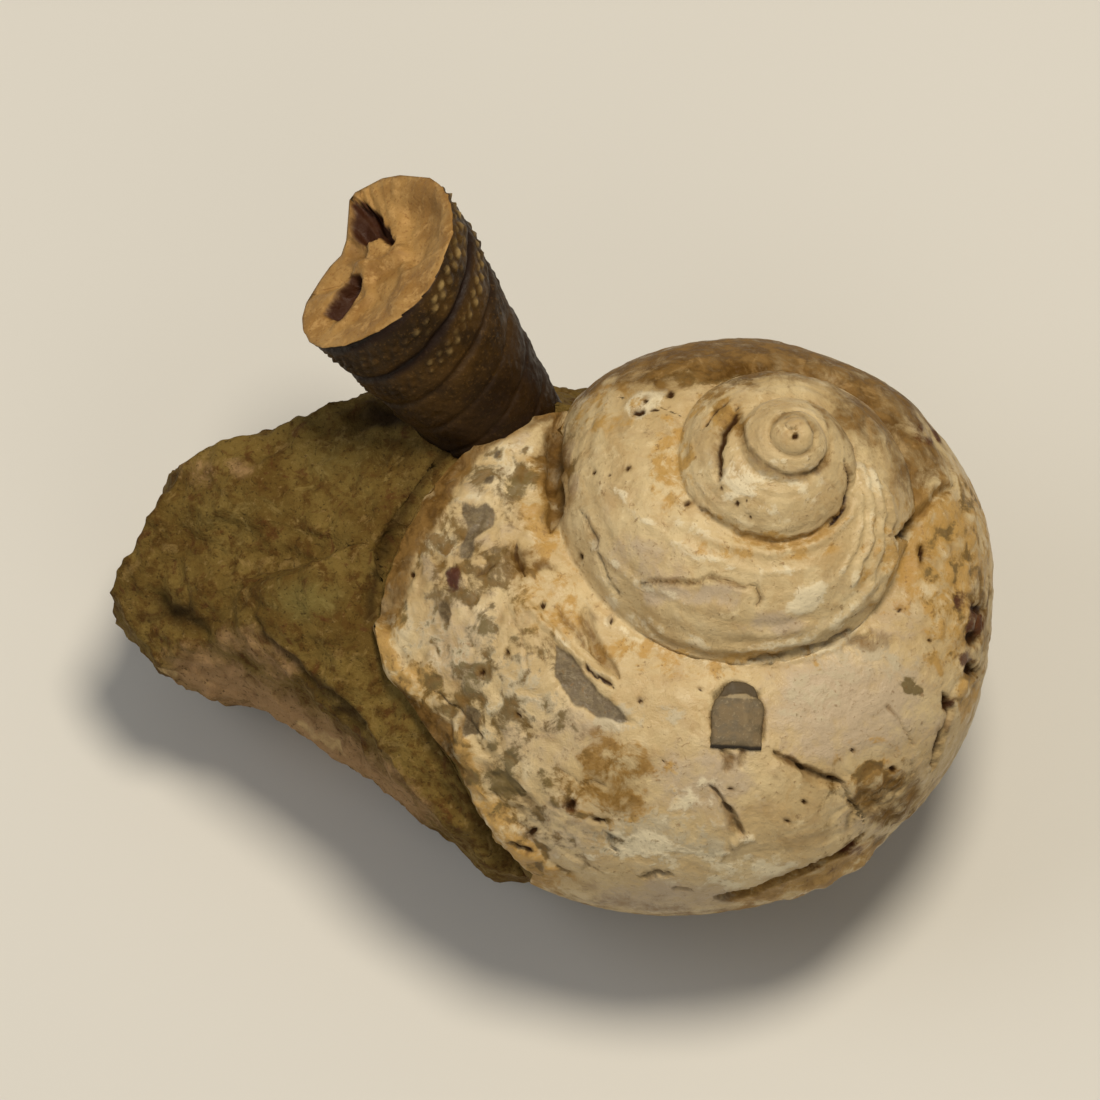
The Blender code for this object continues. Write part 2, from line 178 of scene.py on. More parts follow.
def insideReach(spots, outline):
    # pixels to an outline, below zero inside it
    corners = np.array(outline, float)
    distance = wayReach(spots, np.vstack((corners, corners[:1])))[0]
    inside = np.zeros(len(spots), bool)
    for start, end in zip(corners, np.roll(corners, -1, 0)):
        crosses = (start[1] > spots[:, 1]) != (end[1] > spots[:, 1])
        rise = end[1] - start[1] if end[1] != start[1] else 1e-9
        reach = start[0] + (spots[:, 1] - start[1]) * (end[0] - start[0]) / rise
        inside ^= crosses & (spots[:, 0] < reach)
    return np.where(inside, -distance, distance)


def refine(bm, place, limitOf, passes):
    # halves every edge that is too long and puts the new points back on the true surface
    for step in range(passes):
        bm.normal_update()
        long = [edge for edge in bm.edges if edge.calc_length() > limitOf(edge) * mm]
        if not long:
            break
        bmesh.ops.subdivide_edges(bm, edges=long, cuts=1, use_grid_fill=True)
        place(bm)
    print("refined to", len(bm.faces), "faces")


# materials


def paint(red, green, blue):
    return tuple((value / 255.0) ** 2.2 for value in (red, green, blue)) + (1.0,)


class Finish:
    # a material with its nodes, and short ways to add to them
    def __init__(self, name):
        self.material = bpy.data.materials.new(name)
        self.material.use_nodes = True
        self.nodes = self.material.node_tree.nodes
        self.links = self.material.node_tree.links
        self.shader = self.nodes["Principled BSDF"]
        self.place = self.nodes.new("ShaderNodeTexCoord").outputs["Object"]

    def join(self, source, socket):
        if isinstance(source, bpy.types.NodeSocket):
            self.links.new(source, socket)
        else:
            socket.default_value = source

    def noise(self, size, detail=4.0, rough=0.55, distortion=0.0, where=None):
        # size in millimetres
        node = self.nodes.new("ShaderNodeTexNoise")
        self.links.new(where or self.place, node.inputs["Vector"])
        node.inputs["Scale"].default_value = 1.0 / (size * mm)
        node.inputs["Detail"].default_value = detail
        node.inputs["Roughness"].default_value = rough
        node.inputs["Distortion"].default_value = distortion
        return node.outputs["Fac"]

    def cells(self, size, feature="F1", where=None):
        node = self.nodes.new("ShaderNodeTexVoronoi")
        node.feature = feature
        self.links.new(where or self.place, node.inputs["Vector"])
        node.inputs["Scale"].default_value = 1.0 / (size * mm)
        return node.outputs["Distance"]

    def math(self, kind, first, second=0.0):
        node = self.nodes.new("ShaderNodeMath")
        node.operation = kind
        self.join(first, node.inputs[0])
        self.join(second, node.inputs[1])
        return node.outputs[0]

    def ramp(self, value, low, high, start=0.0, end=1.0):
        node = self.nodes.new("ShaderNodeMapRange")
        node.interpolation_type = "SMOOTHSTEP"
        self.join(value, node.inputs["Value"])
        for name, number in zip(("From Min", "From Max", "To Min", "To Max"),
                                (low, high, start, end)):
            node.inputs[name].default_value = number
        return node.outputs["Result"]

    def mix(self, share, first, second, blend="MIX"):
        node = self.nodes.new("ShaderNodeMix")
        node.data_type = "RGBA"
        node.blend_type = blend
        self.join(share, node.inputs["Factor"])
        self.join(first, node.inputs["A"])
        self.join(second, node.inputs["B"])
        return node.outputs["Result"]

    def masks(self, name):
        # the four masks of a colour attribute
        source = self.nodes.new("ShaderNodeAttribute")
        source.attribute_name = name
        split = self.nodes.new("ShaderNodeSeparateColor")
        self.links.new(source.outputs["Color"], split.inputs["Color"])
        return [split.outputs[0], split.outputs[1], split.outputs[2], source.outputs["Alpha"]]

    def broken(self, mask, grain, softness=0.35, spread=1.8, most=0.9):
        # a mask with a ragged edge, from its own value and a grain between 0 and 1
        shifted = self.math("ADD", mask,
                            self.math("MULTIPLY", self.math("SUBTRACT", grain, 0.5), spread))
        return self.math("MULTIPLY", self.ramp(shifted, 0.5 - softness, 0.5 + softness, 0.0, most),
                         self.ramp(mask, 0.0, 0.12))

    def bump(self, height, distance, strength, under=None):
        node = self.nodes.new("ShaderNodeBump")
        node.inputs["Strength"].default_value = strength
        node.inputs["Distance"].default_value = distance * mm
        self.links.new(height, node.inputs["Height"])
        if under:
            self.links.new(under, node.inputs["Normal"])
        return node.outputs["Normal"]


def makeShellFinish():
    finish = Finish("weathered shell")
    ochre, brown, grey, dark = finish.masks("stainAndShadeOne")
    pale, rose, olive, bluish = finish.masks("stainAndHighlightTwo")
    crestHighlight, hollowShade, maroon = finish.masks("relief")[:3]
    wide = finish.noise(6.0)
    middle = finish.noise(1.6, 5.0, 0.62)
    fine = finish.noise(0.45, 3.0, 0.6)
    patchy, other = finish.noise(2.6, 7.0, 0.68, 0.6), finish.noise(3.4, 6.0, 0.66, 1.1)
    colour = finish.mix(finish.ramp(wide, 0.36, 0.62), paint(200, 178, 134), paint(184, 159, 114))
    colour = finish.mix(finish.ramp(patchy, 0.47, 0.64, 0.0, 0.6), colour, paint(178, 148, 100))
    colour = finish.mix(finish.ramp(other, 0.52, 0.68, 0.0, 0.45), colour, paint(166, 138, 98))
    colour = finish.mix(finish.ramp(middle, 0.57, 0.70, 0.0, 0.55), colour, paint(222, 203, 160))
    # painted highlight on the crests and painted shade in the hollows of the fine relief
    colour = finish.mix(finish.math("MULTIPLY", crestHighlight, 0.55), colour, paint(222, 206, 170))
    colour = finish.mix(finish.math("MULTIPLY", hollowShade, 0.6), colour, paint(142, 112, 68))
    grain = finish.ramp(finish.math("ADD", finish.math("MULTIPLY", patchy, 0.55),
                                    finish.math("MULTIPLY", middle, 0.45)), 0.32, 0.68)
    colour = finish.mix(finish.broken(rose, grain, 0.45, 1.0), colour, paint(180, 161, 134))
    colour = finish.mix(finish.broken(bluish, grain), colour, paint(182, 168, 138))
    # pale: real pale patches, and painted highlights on the ridges
    colour = finish.mix(finish.broken(pale, grain), colour, paint(216, 202, 168))
    colour = finish.mix(finish.broken(ochre, grain), colour, paint(176, 138, 74))
    colour = finish.mix(finish.broken(olive, grain), colour, paint(104, 88, 50))
    earth = finish.mix(finish.ramp(middle, 0.42, 0.62), paint(90, 64, 30), paint(124, 94, 52))
    earth = finish.mix(finish.ramp(other, 0.56, 0.66, 0.0, 0.7), earth, paint(152, 122, 78))
    colour = finish.mix(finish.broken(brown, grain, 0.55, 0.9, 0.94), colour, earth)
    slate = finish.mix(finish.ramp(fine, 0.44, 0.60), paint(88, 75, 56), paint(108, 95, 72))
    colour = finish.mix(finish.broken(grey, middle, 0.25, 0.9), colour, slate)
    colour = finish.mix(finish.broken(maroon, grain, 0.25, 0.8), colour, paint(74, 36, 18))
    specks = finish.math("MULTIPLY", finish.ramp(fine, 0.58, 0.70), finish.ramp(middle, 0.42, 0.6))
    colour = finish.mix(finish.math("MULTIPLY", specks, 0.6), colour, paint(112, 82, 44))
    colour = finish.mix(finish.ramp(finish.noise(0.9, 6.0, 0.7, 1.5), 0.60, 0.70, 0.0, 0.6),
                        colour, paint(132, 100, 58))
    # dark: painted shade in the grooves and pits
    colour = finish.mix(finish.ramp(dark, 0.12, 0.8), colour, paint(58, 38, 19))
    finish.join(colour, finish.shader.inputs["Base Color"])
    finish.join(finish.ramp(middle, 0.32, 0.66, 0.28, 0.62), finish.shader.inputs["Roughness"])
    finish.join(finish.ramp(brown, 0.1, 0.6, 0.35, 0.06),
                finish.shader.inputs["Specular IOR Level"])
    low = finish.bump(patchy, 0.35, 0.7)
    finish.join(finish.bump(fine, 0.12, 0.7, finish.bump(middle, 0.2, 0.6, low)),
                finish.shader.inputs["Normal"])
    return finish.material


def makeRockFinish():
    finish = Finish("olive siltstone")
    green, wall, dark, pale = finish.masks("rockStainAndShade")
    wide = finish.noise(5.0, 5.0, 0.6)
    middle = finish.noise(1.3, 6.0, 0.66)
    fine = finish.noise(0.35, 3.0, 0.62)
    colour = finish.mix(finish.ramp(wide, 0.38, 0.62), paint(92, 72, 34), paint(112, 92, 48))
    colour = finish.mix(finish.ramp(middle, 0.46, 0.64), colour, paint(84, 62, 30))
    spots, blots = finish.noise(0.8, 4.0, 0.6, 0.4), finish.noise(2.0, 6.0, 0.7, 0.8)
    colour = finish.mix(finish.ramp(blots, 0.54, 0.66, 0.0, 0.6), colour, paint(134, 110, 66))
    colour = finish.mix(finish.ramp(blots, 0.44, 0.34, 0.0, 0.7), colour, paint(82, 52, 28))
    colour = finish.mix(finish.broken(green, blots, 0.5, 1.6, 0.8), colour, paint(114, 102, 58))
    colour = finish.mix(finish.broken(wall, blots, 0.5, 1.8, 0.9), colour, paint(158, 126, 90))
    colour = finish.mix(finish.ramp(spots, 0.62, 0.74, 0.0, 0.5), colour, paint(146, 122, 78))
    colour = finish.mix(finish.ramp(fine, 0.60, 0.72, 0.0, 0.3), colour, paint(136, 114, 70))
    colour = finish.mix(finish.ramp(fine, 0.42, 0.32, 0.0, 0.6), colour, paint(52, 38, 18))
    colour = finish.mix(finish.broken(pale, spots, 0.4, 1.6), colour, paint(186, 158, 110))
    # dark: painted shadow and painted shade
    colour = finish.mix(finish.ramp(dark, 0.1, 0.95), colour, paint(42, 30, 13))
    finish.join(colour, finish.shader.inputs["Base Color"])
    finish.join(finish.ramp(middle, 0.3, 0.7, 0.72, 0.95), finish.shader.inputs["Roughness"])
    finish.shader.inputs["Specular IOR Level"].default_value = 0.12
    low = finish.bump(middle, 0.5, 0.7)
    finish.join(finish.bump(fine, 0.16, 0.8, low), finish.shader.inputs["Normal"])
    return finish.material


def makeTurretFinish():
    finish = Finish("dark turret shell")
    bead, face, red, dark = finish.masks("turretStainShadeAndHighlight")
    wide = finish.noise(3.5, 4.0)
    middle = finish.noise(1.0, 6.0, 0.64)
    fine = finish.noise(0.3, 3.0, 0.6)
    colour = finish.mix(finish.ramp(wide, 0.38, 0.62), paint(46, 32, 12), paint(70, 50, 21))
    colour = finish.mix(finish.ramp(fine, 0.55, 0.68, 0.0, 0.4), colour, paint(112, 84, 46))
    colour = finish.mix(finish.broken(bead, middle, 0.4, 0.8, 0.85), colour, paint(158, 132, 84))
    # dark: painted shade along the sutures and on the low end
    colour = finish.mix(finish.ramp(dark, 0.1, 0.9), colour, paint(34, 20, 9))
    tan = finish.mix(finish.ramp(wide, 0.4, 0.6), paint(162, 126, 74), paint(142, 106, 58))
    tan = finish.mix(finish.ramp(middle, 0.50, 0.66, 0.0, 0.7), tan, paint(184, 146, 92))
    tan = finish.mix(finish.ramp(fine, 0.44, 0.34, 0.0, 0.5), tan, paint(120, 82, 42))
    colour = finish.mix(finish.ramp(face, 0.3, 0.7), colour, tan)
    # red: dark red infill in the hollows, darkened with painted shade
    colour = finish.mix(finish.broken(red, middle, 0.4, 0.5, 0.95), colour, paint(50, 20, 9))
    finish.join(colour, finish.shader.inputs["Base Color"])
    finish.join(finish.ramp(middle, 0.35, 0.66, 0.42, 0.7), finish.shader.inputs["Roughness"])
    finish.shader.inputs["Specular IOR Level"].default_value = 0.2
    low = finish.bump(middle, 0.3, 0.5)
    finish.join(finish.bump(fine, 0.1, 0.6, low), finish.shader.inputs["Normal"])
    return finish.material


def makeChipFinish():
    finish = Finish("grey chip")
    cap, foot, edge = finish.masks("chipStainShadeAndHighlight")[:3]
    middle, fine = finish.noise(1.1, 5.0, 0.6), finish.noise(0.3, 3.0, 0.6)
    colour = finish.mix(finish.ramp(middle, 0.4, 0.62), paint(98, 85, 62), paint(116, 99, 72))
    colour = finish.mix(finish.ramp(fine, 0.56, 0.68, 0.0, 0.5), colour, paint(142, 126, 96))
    # edge: worn top edge, and a painted highlight on the ridge
    colour = finish.mix(finish.broken(edge, middle, 0.2, 0.4, 0.7), colour, paint(160, 142, 108))
    colour = finish.mix(finish.broken(cap, middle, 0.3, 0.6), colour, paint(74, 62, 42))
    # foot: painted shadow along the foot and painted shade below the shell's surface
    colour = finish.mix(finish.ramp(foot, 0.2, 0.9), colour, paint(34, 26, 16))
    finish.join(colour, finish.shader.inputs["Base Color"])
    finish.join(finish.ramp(middle, 0.3, 0.7, 0.6, 0.85), finish.shader.inputs["Roughness"])
    finish.join(finish.bump(fine, 0.12, 0.7), finish.shader.inputs["Normal"])
    return finish.material


shellFinish, rockFinish = makeShellFinish(), makeRockFinish()
turretFinish, chipFinish = makeTurretFinish(), makeChipFinish()
print("materials made")


# the snail shell

shellForm = {
    "cornerMerge": 0.12, "tipReach": 4.0, "mouthEdge": 1.2,  # mm, for closing the tip and mouth
    "apex": (20.5, 2.0, 52.0), "lean": 10.4, "startAngle": 67.5, "suture": 10.475, "growth": 2.037,
    "steepness": 1.15, "height": 50.0, "firstTurn": -4.226, "bodyTurn": -0.226, "lipTurn": 0.7735,
    "lipSlant": 0.19, "lipBreak": 0.06, "wornLayer": 0.125, "wornFlat": 0.085,
    "columnsPerTurn": 48, "spireRows": 6, "bodyRows": 8, "baseRows": 6, "lumps": 0.35,
    "edgeInView": 0.30, "edgeOutOfView": 0.8, "edgeHidden": 1.6, "passes": 5,
}


def shellFullness(turn):
    # the body whorl is thinner where its outer layer has gone
    begun = smooth(shellForm["bodyTurn"], shellForm["bodyTurn"] + 0.126, turn)
    worn = shellForm["wornLayer"] * (1.0 - smooth(0.15, 0.50, turn))
    flat = shellForm["wornFlat"] * np.exp(-((turn / 0.1) ** 2))
    return 1.0 - begun * (worn + flat)


def shellFlatness(turn):
    # the older whorls are worn from round to nearly straight
    late = 0.28 * (1.0 - smooth(-0.3, 0.1, turn))
    return late + 0.14 * (1.0 - smooth(-1.5, -1.1, turn)) + 0.12 * (1.0 - smooth(-2.5, -2.0, turn))


def shellPlace(turn, bend):
    # a whorl runs from its upper suture at bend 0 to its widest line at 1, and the base goes on to
    # the axis at 2
    form = shellForm
    low = np.minimum(bend, 1.0)
    slant = form["lipSlant"] * low + form["lipBreak"] * smooth(0.66, 0.76, low)
    turn = turn - slant * np.clip((turn - 0.1) / 0.674, 0.0, 1.0)
    upper = form["suture"] * form["growth"] ** turn
    wide = upper * form["growth"]
    swing, tuck = low * math.pi / 2, np.clip(bend - 1.0, 0.0, 1.0) * math.pi / 2
    flat = shellFlatness(turn)
    across = flat * low + (1.0 - flat) * np.sin(swing)
    down = flat * low + (1.0 - flat) * (1.0 - np.cos(swing))
    radius = (upper + (wide * shellFullness(turn) - upper) * across) * np.cos(tuck)
    depth = form["steepness"] * (upper + (wide - upper) * down)
    depth = depth + (form["height"] - depth) * np.sin(tuck)
    angle = math.radians(form["startAngle"]) - math.tau * turn
    local = np.stack((radius * np.cos(angle), radius * np.sin(angle), -depth), 1)
    leaned = np.array(Matrix.Rotation(math.radians(form["lean"]), 3, "Y"))
    return local @ leaned.T + np.array(form["apex"])


def turnAndBend(aroundX, aroundY, reach):
    # the direction round the axis and the reach, turn plus bend, give the turn and the bend
    part = (np.arctan2(aroundY, aroundX) / math.tau) % 1.0
    lastTurn = part - np.where(part > 0.77375, 1.0, 0.0)
    turn = np.minimum(part + np.floor(reach - part + 1e-6), lastTurn)
    return turn, reach - turn


def placeShell(bm):
    layers = [bm.verts.layers.float[name] for name in ("aroundX", "aroundY", "reach")]
    values = np.array([[vert[layer] for layer in layers] for vert in bm.verts])
    turn, bend = turnAndBend(*values.T)
    for vert, point in zip(bm.verts, (shellPlace(turn, bend) * mm).tolist()):
        vert.co = point


def setColumn(layers, chain, turn, bends):
    for vert, bend in zip(chain, bends):
        for layer, value in zip(layers,
                                (math.cos(math.tau * turn), math.sin(math.tau * turn),
                                 turn + bend)):
            vert[layer] = value
    for vert, point in zip(chain, shellPlace(np.full(len(bends), turn), np.array(bends)) * mm):
        vert.co = point


def buildStrip(bm, layers, turns, bends):
    chain = startChain(bm, [(0.0, 0.0, bend * mm) for bend in bends])
    setColumn(layers, chain, turns[0], bends)
    for turn in turns[1:]:
        chain = extrudeChain(bm, chain)
        setColumn(layers, chain, turn, bends)


def shellEdgeLimit(edge):
    normal = edge.verts[0].normal
    middle = (edge.verts[0].co + edge.verts[1].co) / 2 / mm
    if middle.z < 9.0:
        return shellForm["edgeHidden"]
    inView = normal.dot(Vector(toCamera)) > -0.12
    return shellForm["edgeInView" if inView else "edgeOutOfView"]


def buildShell():
    form = shellForm
    bm = bmesh.new()
    layers = [bm.verts.layers.float.new(name) for name in ("aroundX", "aroundY", "reach")]
    columns = form["columnsPerTurn"]
    spire = [form["firstTurn"] + step / columns for step in range(4 * columns + 1)]
    buildStrip(bm, layers, spire, [row / form["spireRows"] for row in range(form["spireRows"] + 1)])
    body = [form["bodyTurn"] + step / columns for step in range(columns)] + [form["lipTurn"]]
    rows = [row / form["bodyRows"] for row in range(form["bodyRows"] + 1)]
    buildStrip(bm, layers, body,
               rows + [1.0 + row / form["baseRows"] for row in range(1, form["baseRows"] + 1)])
    bmesh.ops.remove_doubles(bm, verts=bm.verts, dist=0.004 * mm)
    bmesh.ops.recalc_face_normals(bm, faces=bm.faces)
    refine(bm, placeShell, shellEdgeLimit, form["passes"])
    return bm


def closeShell(bm):
    # the tip, then the mouth that the rock fills
    form = shellForm
    corner = Vector(shellPlace(np.array((form["lipTurn"],)), np.array((0.0,)))[0]) * mm
    merge = form["cornerMerge"] * mm
    ends = [vert for vert in bm.verts if vert.is_boundary and (vert.co - corner).length < merge]
    bmesh.ops.remove_doubles(bm, verts=ends, dist=merge)
    tip = Vector(form["apex"]) * mm
    tipReach = form["tipReach"] * mm
    tipEdges = [edge for edge in bm.edges
                if edge.is_boundary and (edge.verts[0].co - tip).length < tipReach]
    lid = bmesh.ops.holes_fill(bm, edges=tipEdges, sides=0)["faces"]
    spokes = bmesh.ops.poke(bm, faces=lid)["faces"]
    bmesh.ops.subdivide_edges(bm, edges=list({edge for face in spokes for edge in face.edges}),
                              cuts=3, use_grid_fill=True)
    mouthEdges = [edge for edge in bm.edges if edge.is_boundary]
    made = bmesh.ops.triangle_fill(bm, use_beauty=True, use_dissolve=False,
                                   edges=mouthEdges)["geom"]
    for face in made:
        if isinstance(face, bmesh.types.BMFace):
            face.material_index = 1
    longest = form["mouthEdge"] * mm
    for _ in range(4):
        long = [edge for edge in bm.edges if edge.calc_length() > longest
                and all(face.material_index == 1 for face in edge.link_faces)]
        if not long:
            break
        bmesh.ops.subdivide_edges(bm, edges=long, cuts=1, use_grid_fill=True)
    bmesh.ops.recalc_face_normals(bm, faces=bm.faces)


shellMesh = buildShell()
closeShell(shellMesh)
shell = makePiece("snailShell", shellMesh, [shellFinish, rockFinish])
print("shell built:", len(shell.data.polygons), "faces")


